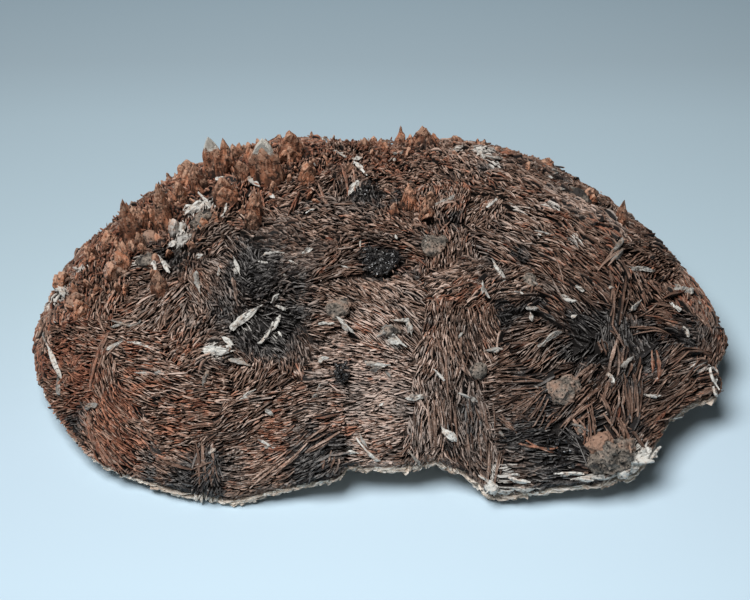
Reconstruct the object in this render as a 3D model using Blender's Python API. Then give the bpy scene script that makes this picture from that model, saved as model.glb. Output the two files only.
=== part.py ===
"""A slab of bladed barite: a low dome of crystal plates grown together, broken away flat underneath.

The slab is one solid. Its domed top carries bundles of thin plates that stand on edge, taller rust
brown crystals along the back left, and loose-looking pale blades. All of them are fused to the slab.
Metres, +Z up. The origin is on the resting face, under the centre of the slab's bounding box.
"""

import math
import random

import bmesh
import bpy
from mathutils import Matrix, Vector, noise

MM = 0.001

# The broken edge, anticlockwise from the left end, in millimetres:
# across, back, height of the edge's foot over the table, height of the broken wall.
EDGE = [
    (-101, -8, 9, 3),
    (-99, -27, 8, 3),
    (-92, -41, 7, 3),
    (-83.5, -53, 5, 3),
    (-75, -59, 4, 3),
    (-67, -62, 3, 4),
    (-56, -66, 2, 5),
    (-41, -68, 1, 5),
    (-33, -67, 3, 5),
    (-25, -66, 5, 4),
    (-12, -65, 8, 4),
    (-10, -62, 9, 4),
    (5, -63, 9, 5),
    (16, -61, 10, 4),
    (24, -63, 7, 5),
    (33, -67.5, 1, 6),
    (39, -68, 4, 5),
    (50, -67, 5, 5),
    (62, -67, 7, 5),
    (72, -63.5, 7, 6),
    (76, -57, 8, 6),
    (81, -46.5, 10, 5),
    (90, -38.5, 11, 5),
    (97, -36, 11, 5),
    (96, -25.5, 10, 5),
    (101, -15, 10, 4),
    (97.5, -1, 11, 4),
    (89, 17, 12, 5),
    (77, 36, 10, 6),
    (63, 54, 8, 6),
    (42, 64, 7, 6),
    (14, 67, 6, 6),
    (0, 67.9, 6, 6),
    (-14, 67, 6, 6),
    (-38, 65, 7, 6),
    (-60, 58, 8, 5),
    (-78, 44, 9, 4),
    (-93, 22, 9, 3),
]
EDGE_RAGGED = 1.1  # how far the broken edge wanders in and out, in millimetres

# The dome, in millimetres. A higher shoulder makes it flatter on top and steeper at the edge.
CROWN_AT = (-6, 14)
CROWN_HEIGHT = 48.5
DOME_SHOULDER = 2.2
DOME_FULLNESS = 0.8
SURFACE_ROUGH = 0.7
ROUGH_SIZE = 8.0

# Lumps and hollows on the dome: across, back, reach, rise (a hollow falls), in millimetres.
SWELLS = [
    (-34, 40, 22, 2.5),
    (40, 44, 30, 2.0),
    (60, 12, 26, 2.0),
    (20, -34, 26, 2.0),
    (-66, -14, 24, -3.0),
    (-24, -2, 17, -4.0),
    (-88, -22, 11, 3.0),
    (64, -46, 9, 2.5),
    (-1, -13, 7, -3.5),
    (48, -62, 9, -4.0),
    (-32, -31, 11, -4.0),
    (60, -34, 9, -3.0),
    (-11, -45, 3.4, -1.5),
    (-7, 14, 5, -1.5),
    (76, -29, 7, -1.5),
]

# The underside rests flat out to this share of the way to the edge, and rises from there.
FLAT_SHARE = 0.7
UNDERCUT_CURVE = 1.5
FOOT_INSET = 0.03
SPHERE_STEPS = 4  # the icosphere that the slab is shaped from: 1,280 faces
WALL_LEVELS = (math.radians(-26), math.radians(-18))  # latitudes that become the foot and top of the wall
FINE_LEVELS = (math.radians(-35), math.radians(-9))  # latitudes whose faces are halved along the front,
FINE_BACK = 0.2  # for the notches and spurs of its edge
DOME_SPREAD = math.radians(76)  # a larger angle packs the dome's faces closer towards the edge

# Crystals that stand clear of the slab: across, back, width, height, thickness in millimetres,
# then the turn about the vertical and the outward lean, in degrees.
RUST_CRYSTALS = [
    (-72.4, 9.2, 6.6, 18.0, 3.2, 10, 0),
    (-63.4, 11.6, 6.8, 16.1, 3.2, -5, 0),
    (-53.4, 24.3, 6.4, 9.7, 3.2, -15, 0),
    (-48.5, 29.8, 6.6, 14.2, 3.8, 5, 0),
    (-45, 30.6, 5, 10.8, 3.0, 10, 0),
    (-33, 21.3, 10.5, 16.1, 4.2, -5, 0),
    (-27, 31.8, 9, 9.9, 4.0, 5, 5),
    (-45, 15.3, 8.5, 9.1, 5.0, 10, 5),
    (-36.4, 6.2, 4.5, 10.5, 2.8, -35, -2),
    (-36.8, 3.5, 5.2, 7.0, 3.2, -10, 5),
    (-69.5, 3.7, 4.5, 7.0, 3.0, 10, 0),
    (-74.3, -1.6, 5.6, 9.1, 3.2, -10, 0),
    (-62.8, -16.1, 6, 9.4, 3.2, 5, 5),
    (-77.7, -2.8, 6.6, 6.0, 4.0, 30, 10),
    (-58.8, 20.8, 4.5, 8.6, 2.8, 25, 0),
    (-73.5, 21, 6, 6.0, 2.6, 10, 0),
    (-65, 25, 5, 5.5, 2.6, 5, 0),
    (-43, 38, 5, 5.5, 2.8, 10, 0),
    (-38.5, 34, 5, 6.0, 2.8, 25, 0),
    (-21.5, 20, 5.6, 7.0, 3.0, 15, 5),
    (-94, 7, 6, 5.5, 2.8, 60, 5),
    (-85, 9, 6, 6.5, 2.8, 40, 5),
    (-86, -15, 6, 6.0, 2.8, 35, 5),
    (-57, 31, 5.5, 5.5, 2.8, 30, 5),
    (6, 47, 3.4, 6.5, 2.4, 10, 0),
    (13, 42.5, 8, 5.0, 4.2, 0, 0),
    (8, 7, 5.2, 7.5, 3.0, 20, 5),
    (13, 3, 5, 6.5, 3.2, -20, 5),
    (70.5, 18, 3.4, 9.5, 2.4, -25, 0),
    (62, 26, 5, 4.5, 3.0, 20, 5),
    (-31, 52, 7, 4.0, 3.0, 160, 10),
    (-58, 47, 7, 5.0, 3.0, 130, 10),
    (22, 54, 6, 3.0, 3.0, 200, 10),
    (50, 46, 6, 3.0, 3.0, 150, 10),
]

# Pale blades: across, back, length, height, thickness, turn, lean.
PALE_BLADES = [
    (-93, -27, 15, 2.2, 1.6, 106, 15),
    (-93, 1, 13, 2.5, 2.0, 115, 15),
    (-62, -6, 8, 3.0, 1.6, 116, 10),
    (-51, 16, 9, 3.5, 1.8, 110, 10),
    (-54, 14, 6, 2.8, 3.2, 15, 5),
    (-37, -50, 6, 2.5, 2.4, 43, 10),
    (-46, -38, 11, 2.2, 1.6, -5, 15),
    (-38, -28, 10, 3.0, 2.0, 49, 15),
    (-32, -33, 7.5, 3.0, 2.2, 59, 10),
    (-4, -61, 9, 2.2, 1.6, 120, 10),
    (4, -38, 8, 2.8, 2.2, 141, 15),
    (9, -51, 6, 2.0, 1.8, 15, 10),
    (33, -18, 9, 2.8, 1.8, 106, 10),
    (47, -37, 9, 2.6, 1.8, 44, 15),
    (72, -20, 8, 2.4, 1.8, 55, 15),
    (75, -4, 9, 2.2, 1.6, 27, 15),
    (68, 2, 11, 2.4, 1.8, 65, 10),
    (52, -66, 8, 2.2, 1.6, -2, 20),
    (29, 36, 8, 3.0, 2.2, 101, 10),
]

# Bundles of plates on edge: across, back, turn in degrees, how many plates, their length in millimetres.
SHEAVES = [
    (-87, -31, -15, 3, 13),
    (-68, -33, -20, 4, 16),
    (-73, -48, -60, 3, 15),
    (-53, -49, -5, 4, 16),
    (-59, -57, -20, 3, 13),
    (-34, -58, 20, 3, 18),
    (-19, -55, 55, 3, 11),
    (-7, -51, 0, 4, 18),
    (-24, -42, -70, 3, 12),
    (-66, -20, 25, 4, 14),
    (-80, -14, 85, 3, 12),
    (-46, -20, -60, 4, 15),
    (-26, -14, 5, 3, 13),
    (-41, -5, -65, 3, 12),
    (-22, 2, -20, 4, 16),
    (9, -25, -40, 4, 16),
    (20, -36, 85, 4, 17),
    (10, -54, 90, 3, 12),
    (24, -54, 95, 3, 12),
    (44, -40, 40, 3, 13),
    (46, -6, -25, 4, 19),
    (58, 8, -30, 4, 17),
    (56, -20, -35, 3, 15),
    (39, -54, 15, 3, 15),
    (57, -54, 45, 3, 13),
    (67, -30, 90, 3, 13),
    (69, -47, 80, 3, 12),
    (85, -33, 30, 3, 13),
    (83, -13, 15, 3, 13),
    (75, 10, 20, 3, 13),
    (40, 22, -15, 4, 16),
    (8, 26, 15, 4, 16),
    (18, -5, 85, 3, 14),
    (-58, 2, 65, 3, 13),
]
PLATE_PITCH = 3.2  # from one plate of a bundle to the next, in millimetres
PLATE_PROUD = 1.7  # how far a plate's crest stands over the dome
PLATE_SUNK = 1.6
PLATE_THICK = 2.2  # at its buried foot
MORE_SHEAVES = 38  # further bundles, scattered over what the listed ones leave bare
SHEAF_SPACING = 12.5  # no scattered bundle comes closer than this to another
SHEAF_SEED = 17

# Smooth grey lumps and the rim's pale crumbs: across, back, radius, squash.
NODULES = [
    (51, -50, 4.6, 0.65),
    (64, -61.5, 6.3, 0.75),
    (-12, -29, 3.6, 0.6),
    (27, -46, 2.6, 0.6),
    (15, -9, 3.6, 0.6),
]

COLOURS = {  # base colour, roughness
    "plate_brown": ((0.16, 0.095, 0.066, 1), 0.75),
    "broken_matrix": ((0.42, 0.33, 0.25, 1), 0.85),
    "rust_crystal": ((0.27, 0.10, 0.045, 1), 0.7),
    "pale_blade": ((0.56, 0.52, 0.46, 1), 0.55),
}


def clear_scene():
    for thing in list(bpy.data.objects):
        bpy.data.objects.remove(thing)


def make_materials():
    made = {}
    for name, (colour, roughness) in COLOURS.items():
        material = bpy.data.materials.new(name)
        material.use_nodes = True
        shader = material.node_tree.nodes["Principled BSDF"]
        shader.inputs["Base Color"].default_value = colour
        shader.inputs["Roughness"].default_value = roughness
        shader.inputs["Metallic"].default_value = 0.0
        made[name] = material
    return made


def edge_stations():
    """The edge as (angle about the crown, distance, foot, wall), sorted by angle."""
    stations = []
    for across, back, foot, wall in EDGE:
        x, y = across - CROWN_AT[0], back - CROWN_AT[1]
        stations.append((math.atan2(y, x), math.hypot(x, y), foot, wall))
    return sorted(stations)


STATIONS = edge_stations()


def edge_at(angle):
    """Distance of the edge from the crown, its foot height and its wall height, between two stations."""
    after = next((i for i, s in enumerate(STATIONS) if s[0] > angle), 0)
    low, high = STATIONS[after - 1], STATIONS[after]
    span = (high[0] - low[0]) % math.tau
    share = ((angle - low[0]) % math.tau) / span
    reach, foot, wall = (a + (b - a) * share for a, b in zip(low[1:], high[1:]))
    ragged = noise.noise(Vector((math.cos(angle), math.sin(angle), 0)) * 9)
    return reach + EDGE_RAGGED * ragged, foot, wall


def top_height(x, y):
    """Height of the dome over the table at a point in plan, all in millimetres."""
    dx, dy = x - CROWN_AT[0], y - CROWN_AT[1]
    reach, foot, wall = edge_at(math.atan2(dy, dx))
    share = min(1.0, math.hypot(dx, dy) / reach)
    rim = foot + wall
    height = rim + (CROWN_HEIGHT - rim) * (1 - share**DOME_SHOULDER) ** DOME_FULLNESS
    fade = 1 - share**4
    for at_x, at_y, width, rise in SWELLS:
        height += rise * fade * math.exp(-((x - at_x) ** 2 + (y - at_y) ** 2) / width**2)
    return height


def top_normal(x, y, step=1.5):
    slope_x = (top_height(x + step, y) - top_height(x - step, y)) / (2 * step)
    slope_y = (top_height(x, y + step) - top_height(x, y - step)) / (2 * step)
    return Vector((-slope_x, -slope_y, 1)).normalized()


def slab_point(direction):
    """Where a point of the unit sphere goes on the slab, in millimetres."""
    angle = math.atan2(direction.y, direction.x)
    level = math.asin(max(-1.0, min(1.0, direction.z)))
    foot_level, top_level = WALL_LEVELS
    reach, foot, wall = edge_at(angle)
    if level > top_level:
        share = math.sin(DOME_SPREAD * (math.pi / 2 - level) / (math.pi / 2 - top_level)) / math.sin(DOME_SPREAD)
        inset = 0.0
        z = top_height(CROWN_AT[0] + reach * share * math.cos(angle), CROWN_AT[1] + reach * share * math.sin(angle))
    elif level > foot_level:
        climb = (level - foot_level) / (top_level - foot_level)
        share = 1.0
        inset = FOOT_INSET * (1 - climb)
        z = foot + wall * climb
    else:
        share = math.cos(level) / math.cos(foot_level)
        rise = max(0.0, (share - FLAT_SHARE) / (1 - FLAT_SHARE)) ** UNDERCUT_CURVE
        inset = FOOT_INSET * rise
        z = foot * rise
    out = reach * share * (1 - inset)
    point = Vector((CROWN_AT[0] + out * math.cos(angle), CROWN_AT[1] + out * math.sin(angle), z))
    if z > 0.05:
        lump = noise.noise(point / ROUGH_SIZE) + 0.5 * noise.noise(point / (0.4 * ROUGH_SIZE))
        point += direction * SURFACE_ROUGH * lump * (1 - share**6)
        point.z = max(point.z, 0.3)
    return point


def make_slab(materials):
    """The dome, its broken wall and its flat underside, shaped from an icosphere."""
    bm = bmesh.new()
    bmesh.ops.create_icosphere(bm, subdivisions=SPHERE_STEPS, radius=1.0)
    low, high = (math.sin(level) for level in FINE_LEVELS)
    fine = [e for e in bm.edges if all(low < v.co.z < high and v.co.y < FINE_BACK for v in e.verts)]
    bmesh.ops.subdivide_edges(bm, edges=fine, cuts=1, use_grid_fill=True)
    bmesh.ops.triangulate(bm, faces=[f for f in bm.faces if len(f.verts) > 3])
    for vert in bm.verts:
        vert.co.normalize()
    broken = set()
    for vert in bm.verts:
        if vert.co.z < math.sin(WALL_LEVELS[1]):
            broken.add(vert)
        vert.co = slab_point(vert.co.copy()) * MM
    for face in bm.faces:
        face.material_index = 1 if all(v in broken for v in face.verts) else 0
    resting = [f for f in bm.faces if all(v.co.z < 1e-6 for v in f.verts)]
    bmesh.ops.dissolve_faces(bm, faces=resting, use_verts=True)
    bmesh.ops.triangulate(bm, faces=[f for f in bm.faces if len(f.verts) > 3])
    mesh = bpy.data.meshes.new("barite_stone")
    bm.to_mesh(mesh)
    bm.free()
    mesh.materials.append(materials["plate_brown"])
    mesh.materials.append(materials["broken_matrix"])
    return bpy.data.objects.new("barite_stone", mesh)


def standing_frame(x, y, turn, lean, upright):
    """A matrix that stands a crystal on the dome: its length along turn, its height mostly along the surface
    normal. upright is how far the height leans back to the vertical, and lean tips it outwards, in degrees."""
    normal = top_normal(x, y)
    height = (normal * (1 - upright) + Vector((0, 0, 1)) * upright).normalized()
    along = Vector((math.cos(math.radians(turn)), math.sin(math.radians(turn)), 0))
    along = (along - height * along.dot(height)).normalized()
    across = height.cross(along)
    if across.dot(normal) < 0:
        lean = -lean
    tip = Matrix.Rotation(math.radians(lean), 3, along)
    axes = Matrix((along, tip @ across, tip @ height)).transposed()
    at = Vector((x, y, top_height(x, y))) * MM
    return Matrix.Translation(at) @ axes.to_4x4()


def tabular_crystal(width, height, thick):
    """A six-sided plate standing on edge with a corner up, its lower half meant to be buried."""
    bm = bmesh.new()
    bmesh.ops.create_cone(bm, cap_ends=True, segments=6, radius1=1.0, radius2=0.84, depth=1.0)
    size = Matrix.Diagonal(Vector((width / 2, height, thick, 1))) * MM
    size[3][3] = 1.0
    bm.transform(Matrix.Rotation(math.radians(90), 4, "X") @ size)
    return bm


def edge_plate(length, proud, sunk, thick):
    """A long plate on edge with a narrowed crest and raking ends."""
    bm = bmesh.new()
    bmesh.ops.create_cube(bm, size=1.0)
    for vert in bm.verts:
        crest = vert.co.z > 0
        vert.co.x *= length * (0.84 if crest else 1.0)
        vert.co.y *= thick * (0.55 if crest else 1.0)
        vert.co.z = proud if crest else -sunk
    bm.transform(Matrix.Diagonal(Vector((MM, MM, MM, 1))))
    return bm


def add_blade(name, bm, frame, material, collection):
    bm.transform(frame)
    bmesh.ops.recalc_face_normals(bm, faces=bm.faces)
    mesh = bpy.data.meshes.new(name)
    bm.to_mesh(mesh)
    bm.free()
    mesh.materials.append(material)
    blade = bpy.data.objects.new(name, mesh)
    blade.hide_render = True
    blade.display_type = "WIRE"
    collection.objects.link(blade)
    return blade


def scattered_sheaves():
    """Bundles over the bare parts of the dome, turned at random and shorter towards the edge."""
    rng = random.Random(SHEAF_SEED)
    taken = [(x, y) for x, y, *_ in SHEAVES] + [(-1, -13)]
    found = []
    for _ in range(6000):
        if len(found) == MORE_SHEAVES:
            break
        angle = rng.uniform(-math.pi, math.pi)
        out = edge_at(angle)[0] * math.sqrt(rng.uniform(0.0, 0.8))
        x = CROWN_AT[0] + out * math.cos(angle)
        y = CROWN_AT[1] + out * math.sin(angle)
        if min(math.dist((x, y), other) for other in taken) < SHEAF_SPACING:
            continue
        taken.append((x, y))
        found.append((x, y, rng.uniform(-90, 90), rng.choice((3, 3, 4)), rng.uniform(11, 15)))
    return found


def plate_ridge(length, proud):
    """A long plate on edge: a sharp crest with raking ends over a wider buried foot."""
    bm = bmesh.new()
    half = length / 2
    foot = [bm.verts.new((x, y, -PLATE_SUNK)) for x, y in
            ((-half, -PLATE_THICK / 2), (half, -PLATE_THICK / 2), (half, PLATE_THICK / 2), (-half, PLATE_THICK / 2))]
    crest = [bm.verts.new((x * 0.88, 0, proud)) for x in (-half, half)]
    bm.faces.new(foot)
    bm.faces.new((foot[0], foot[1], crest[1], crest[0]))
    bm.faces.new((foot[2], foot[3], crest[0], crest[1]))
    bm.faces.new((foot[1], foot[2], crest[1]))
    bm.faces.new((foot[3], foot[0], crest[0]))
    bm.transform(Matrix.Diagonal(Vector((MM, MM, MM, 1))))
    return bm


def add_sheaf(number, x, y, turn, count, length, material, collection):
    """Parallel plates side by side, staggered along their length like cut straw."""
    rng = random.Random(SHEAF_SEED + number)
    direction = Vector((math.cos(math.radians(turn)), math.sin(math.radians(turn)), 0))
    beside = Vector((-direction.y, direction.x, 0))
    for i in range(count):
        at = beside * (i - (count - 1) / 2) * PLATE_PITCH + direction * rng.uniform(-2, 2)
        at += Vector((x, y, 0))
        frame = standing_frame(at.x, at.y, turn + rng.uniform(-5, 5), rng.uniform(-10, 10), 0.0)
        plate = plate_ridge(length * rng.uniform(0.75, 1.05), PLATE_PROUD * rng.uniform(0.7, 1.25))
        add_blade(f"sheaf_{number:02d}_{i}", plate, frame, material, collection)


def nodule(radius, squash):
    bm = bmesh.new()
    bmesh.ops.create_icosphere(bm, subdivisions=2, radius=radius * MM)
    bm.transform(Matrix.Diagonal(Vector((1, 0.85, squash, 1))))
    return bm


def add_blades(materials, collection):
    for i, (x, y, width, height, thick, turn, lean) in enumerate(RUST_CRYSTALS):
        frame = standing_frame(x, y, turn, lean, 0.4)
        add_blade(f"rust_{i:02d}", tabular_crystal(width, height, thick), frame, materials["rust_crystal"], collection)
    for i, (x, y, length, height, thick, turn, lean) in enumerate(PALE_BLADES):
        frame = standing_frame(x, y, turn, lean, 0.0)
        bm = edge_plate(length, height, PLATE_SUNK, thick)
        add_blade(f"pale_{i:02d}", bm, frame, materials["pale_blade"], collection)
    for i, (x, y, radius, squash) in enumerate(NODULES):
        frame = standing_frame(x, y, 25 * i, 0, 0.0)
        add_blade(f"nodule_{i}", nodule(radius, squash), frame, materials["broken_matrix"], collection)
    for number, (x, y, turn, count, length) in enumerate(SHEAVES + scattered_sheaves()):
        add_sheaf(number, x, y, turn, count, length, materials["plate_brown"], collection)


def main():
    clear_scene()
    materials = make_materials()
    stone_parts = bpy.data.collections.new("barite_stone")
    blades = bpy.data.collections.new("blades_to_fuse")
    bpy.context.scene.collection.children.link(stone_parts)
    bpy.context.scene.collection.children.link(blades)
    stone = make_slab(materials)
    stone_parts.objects.link(stone)
    add_blades(materials, blades)
    fuse = stone.modifiers.new("fuse_blades", "BOOLEAN")
    fuse.operation = "UNION"
    fuse.operand_type = "COLLECTION"
    fuse.collection = blades
    fuse.solver = "EXACT"
    fuse.material_mode = "TRANSFER"


main()
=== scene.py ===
import math

import bpy
import numpy as np
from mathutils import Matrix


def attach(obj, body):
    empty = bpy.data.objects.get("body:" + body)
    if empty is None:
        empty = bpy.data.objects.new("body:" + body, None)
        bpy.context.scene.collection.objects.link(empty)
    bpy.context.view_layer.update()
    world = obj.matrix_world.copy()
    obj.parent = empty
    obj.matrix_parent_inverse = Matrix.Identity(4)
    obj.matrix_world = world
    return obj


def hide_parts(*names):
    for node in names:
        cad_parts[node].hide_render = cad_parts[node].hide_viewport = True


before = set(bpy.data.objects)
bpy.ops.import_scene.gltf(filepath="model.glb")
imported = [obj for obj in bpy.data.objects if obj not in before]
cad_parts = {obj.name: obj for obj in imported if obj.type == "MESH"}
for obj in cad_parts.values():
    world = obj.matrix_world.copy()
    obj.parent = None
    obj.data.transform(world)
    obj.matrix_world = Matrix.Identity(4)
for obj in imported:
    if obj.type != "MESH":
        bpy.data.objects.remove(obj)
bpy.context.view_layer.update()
mm = 0.001  # lengths are in millimetres until a mesh is written: x across, y towards the back, z up

scene = bpy.context.scene
scene.view_settings.view_transform = "Standard"
print("frame loaded")


def addCamera():
    view = {"aim": (-1.75, -2.5, 20.0), "lookDown": 42.0, "distance": 850.0, "lens": 139.9, "sensor": 36.0,
            "nearest": 10.0, "furthest": 20000.0}
    down = math.radians(view["lookDown"])
    aim = np.array(view["aim"])
    place = aim + view["distance"] * np.array([0, -math.cos(down), math.sin(down)])
    bpy.ops.object.camera_add(location=tuple(place * mm), rotation=(math.pi / 2 - down, 0, 0))
    camera = bpy.context.object
    camera.name = "camera"
    camera.data.lens = view["lens"]
    camera.data.sensor_width = view["sensor"]
    camera.data.clip_start = view["nearest"] * mm
    camera.data.clip_end = view["furthest"] * mm
    scene.camera = camera


addCamera()


class Wire:
    # one socket of a material, with the arithmetic of the Math node
    def __init__(self, tree, socket):
        self.tree = tree
        self.socket = socket

    def node(self, kind, settings=None, inputs=None, out=0):
        made = self.tree.nodes.new(kind)
        for name, value in (settings or {}).items():
            if name == "stops":
                ramp = made.color_ramp
                while len(ramp.elements) < len(value):
                    ramp.elements.new(0.5)
                for element, (place, colour) in zip(ramp.elements, value):
                    element.position = place
                    element.color = colour if len(colour) == 4 else (*colour, 1)
            else:
                setattr(made, name, value)
        for key, value in (inputs or {}).items():
            if isinstance(value, Wire):
                self.tree.links.new(value.socket, made.inputs[key])
            else:
                made.inputs[key].default_value = value
        return Wire(self.tree, made.outputs[out])

    def sum(self, operation, first, second):
        return self.node("ShaderNodeMath", {"operation": operation}, {0: first, 1: second})

    def __add__(self, other):
        return self.sum("ADD", self, other)

    def __sub__(self, other):
        return self.sum("SUBTRACT", self, other)

    def __rsub__(self, other):
        return self.sum("SUBTRACT", other, self)

    def __mul__(self, other):
        return self.sum("MULTIPLY", self, other)

    def __truediv__(self, other):
        return self.sum("DIVIDE", self, other)

    def __rtruediv__(self, other):
        return self.sum("DIVIDE", other, self)

    __radd__ = __add__
    __rmul__ = __mul__

    def between(self, low, high):  # 0 under low, 1 over high, smooth between
        return self.node("ShaderNodeMapRange", {"interpolation_type": "SMOOTHSTEP"},
                         {"Value": self, "From Min": low, "From Max": high})

    def mix(self, first, second):  # colours, by this wire's share
        return self.node("ShaderNodeMix", {"data_type": "RGBA", "clamp_factor": True},
                         {0: self, 6: paint(first), 7: paint(second)}, 2)

    def attribute(self, name, out="Fac"):
        return self.node("ShaderNodeAttribute", {"attribute_name": name}, {}, out)

    def part(self, index):  # one of a vector's three numbers
        return self.node("ShaderNodeSeparateXYZ", {}, {0: self}, index)

    def noise(self, size, detail, roughness=0.55):  # over the place on this wire, size in millimetres
        return self.node("ShaderNodeTexNoise", {},
                         {"Vector": self, "Scale": 1 / (size * mm), "Detail": detail, "Roughness": roughness})

    def cells(self, size):
        return self.node("ShaderNodeTexVoronoi", {},
                         {"Vector": self, "Scale": 1 / (size * mm), "Randomness": 1.0})


def paint(colour):
    return colour if isinstance(colour, Wire) else (*colour[:3], 1.0)


def newMaterial(name, roughness, specular):
    # a material, its shader, and a wire that carries the object's own coordinates
    material = bpy.data.materials.new(name)
    material.use_nodes = True
    tree = material.node_tree
    shader = tree.nodes["Principled BSDF"]
    shader.inputs["Roughness"].default_value = roughness
    shader.inputs["Specular IOR Level"].default_value = specular
    place = Wire(tree, None).node("ShaderNodeTexCoord", {}, {}, "Object")
    return material, shader, place


def feed(shader, socket, wire):
    wire.tree.links.new(wire.socket, shader.inputs[socket])


def bumped(shader, wire, height, strength):  # height in millimetres
    bump = wire.node("ShaderNodeBump", {}, {"Strength": strength, "Distance": height * mm, "Height": wire})
    feed(shader, "Normal", bump)


def addFloor():
    ground = {
        "size": 6000.0, "front": -260.0, "back": 220.0,
        # share of the way from front to back, and the colour there: darker towards the back, painted falloff
        # of the light
        "stops": [(0.0, (0.517, 0.645, 0.738)), (0.2, (0.524, 0.657, 0.752)), (0.34, (0.557, 0.709, 0.816)),
                  (0.45, (0.527, 0.664, 0.764)), (0.583, (0.45, 0.576, 0.647)), (0.765, (0.351, 0.45, 0.509)),
                  (0.83, (0.294, 0.375, 0.427)), (0.896, (0.26, 0.338, 0.39)), (1.0, (0.212, 0.28, 0.325))],
        "halfWidth": 110.0, "paintedSideShade": 0.06,
        "mottle": 160.0, "mottleDepth": 0.02,
        "grain": 1.2, "grainHeight": 0.02,
    }
    bpy.ops.mesh.primitive_plane_add(size=ground["size"] * mm, location=(0, 0, 0))
    floor = bpy.context.object
    floor.name = "floor"
    material, shader, place = newMaterial("paleFloor", 0.85, 0.2)
    across = place.part(0) * (1 / (ground["halfWidth"] * mm))
    share = (place.part(1) * (1 / mm) - ground["front"]) / (ground["back"] - ground["front"])
    mottle = place.noise(ground["mottle"], 2.0) * ground["mottleDepth"] - ground["mottleDepth"] / 2
    colour = place.node("ShaderNodeValToRGB", {"stops": ground["stops"]}, {0: share + mottle})
    # painted shade darkens the floor towards its sides
    feed(shader, "Base Color", (across * across * ground["paintedSideShade"]).mix(colour, (0.0, 0.0, 0.0)))
    bumped(shader, place.noise(ground["grain"], 2.0), ground["grainHeight"], 0.2)
    floor.data.materials.append(material)


def addLights():
    lamps = {
        "key": {"place": (-500, -520, 1800), "aim": (0, -10, 10), "size": 1100, "power": 47.3},
        "front": {"place": (-250, -900, 800), "aim": (0, -20, 20), "size": 700, "power": 0.3},
    }
    room = {"colour": (0.95, 0.98, 1.0, 1.0), "strength": 0.04}
    for name, lamp in lamps.items():
        place = np.array(lamp["place"], float)
        towards = np.array(lamp["aim"], float) - place
        flat = math.hypot(towards[0], towards[1])
        turn = (math.atan2(flat, -towards[2]), 0, math.atan2(towards[1], towards[0]) - math.pi / 2)
        bpy.ops.object.light_add(type="AREA", location=tuple(place * mm), rotation=turn)
        light = bpy.context.object
        light.name = name
        light.data.shape = "DISK"
        light.data.size = lamp["size"] * mm
        light.data.energy = lamp["power"]
    world = bpy.data.worlds.new("softRoom")
    world.use_nodes = True
    glow = world.node_tree.nodes["Background"]
    glow.inputs["Color"].default_value = room["colour"]
    glow.inputs["Strength"].default_value = room["strength"]
    scene.world = world


addFloor()
addLights()
print("camera, floor and lights are in place")


slab = {
    # the broken edge, anticlockwise from the left end: across, back, foot height, wall height
    "edge": [
        (-101, -8, 9, 3), (-99, -27, 8, 3), (-92, -41, 7, 3), (-83.5, -53, 5, 3), (-75, -59, 4, 3),
        (-67, -62, 3, 4), (-56, -66, 2, 5), (-41, -68, 1, 5), (-33, -67, 3, 5), (-25, -66, 5, 4),
        (-12, -65, 8, 4), (-10, -62, 9, 4), (5, -63, 9, 5), (16, -61, 10, 4), (24, -63, 7, 5),
        (33, -67.5, 1, 6), (39, -68, 4, 5), (50, -67, 5, 5), (62, -67, 7, 5), (72, -63.5, 7, 6),
        (76, -57, 8, 6), (81, -46.5, 10, 5), (90, -38.5, 11, 5), (97, -36, 11, 5), (96, -25.5, 10, 5),
        (101, -15, 10, 4), (97.5, -1, 11, 4), (89, 17, 12, 5), (77, 36, 10, 6), (63, 54, 8, 6),
        (42, 64, 7, 6), (14, 67, 6, 6), (0, 67.9, 6, 6), (-14, 67, 6, 6), (-38, 65, 7, 6), (-60, 58, 8, 5),
        (-78, 44, 9, 4), (-93, 22, 9, 3),
    ],
    "ragged": 1.3,  # how far the edge strays in and out
    "crown": (-6, 14),
    "height": 48.5,
    "shoulder": 2.2,  # higher keeps the top flat for longer
    "fullness": 0.8,  # lower makes the flank steeper
    # lumps and hollows: across, back, reach, rise
    "swells": [
        (-34, 40, 22, 2.5), (40, 44, 30, 2), (60, 12, 26, 2), (20, -34, 26, 2), (-66, -14, 24, -3),
        (-24, -2, 17, -4), (-88, -22, 11, 3), (64, -46, 9, 2.5), (-1, -13, 7, -3.5), (48, -62, 9, -4),
        (-32, -31, 11, -4), (60, -34, 9, -3), (-11, -45, 3.4, -1.5), (-7, 14, 5, -1.5), (76, -29, 7, -1.5),
    ],
    # the part of a ball that becomes the wall, and how the part above it is spread over the dome
    "footLevel": math.radians(-26),
    "topLevel": math.radians(-18),
    "spread": math.radians(76),
    "flatShare": 0.7,  # how far out the base stays flat
    "undercut": 1.5,
    "inset": 0.03,
    "clearance": 0.4,  # between the floor and all that grows on the stone
}
crownX, crownY = slab["crown"]


# large numbers that stir the place of a grid cell into a random value
stir = {"axes": np.array([73856093, 19349663, 83492791]), "seed": 790039, "first": 1274126177,
        "second": 668265263, "most": 2**31 - 1, "levels": 2**16}


def cloud(points, size, seed=0):
    # smooth random values from -1 to 1 over space, with features of about this size
    at = np.asarray(points, float) / size
    cell = np.floor(at).astype(np.int64)
    part = at - cell
    part = part * part * (3 - 2 * part)
    total = np.zeros(len(at))
    for corner in range(8):
        step = np.array([corner & 1, corner >> 1 & 1, corner >> 2 & 1])
        share = np.prod(np.where(step, part, 1 - part), axis=1)
        key = (cell + step) @ stir["axes"] + seed * stir["seed"]
        key = ((key ^ (key >> 13)) * stir["first"]) & stir["most"]
        key = ((key ^ (key >> 15)) * stir["second"]) & stir["most"]
        total += share * ((key >> 8) % stir["levels"] * 2 / (stir["levels"] - 1) - 1)
    return total


def flatCloud(x, y, size, seed=0):
    return cloud(np.stack([x, y, np.full(np.shape(x), seed * 3.7)], -1), size, seed)


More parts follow.
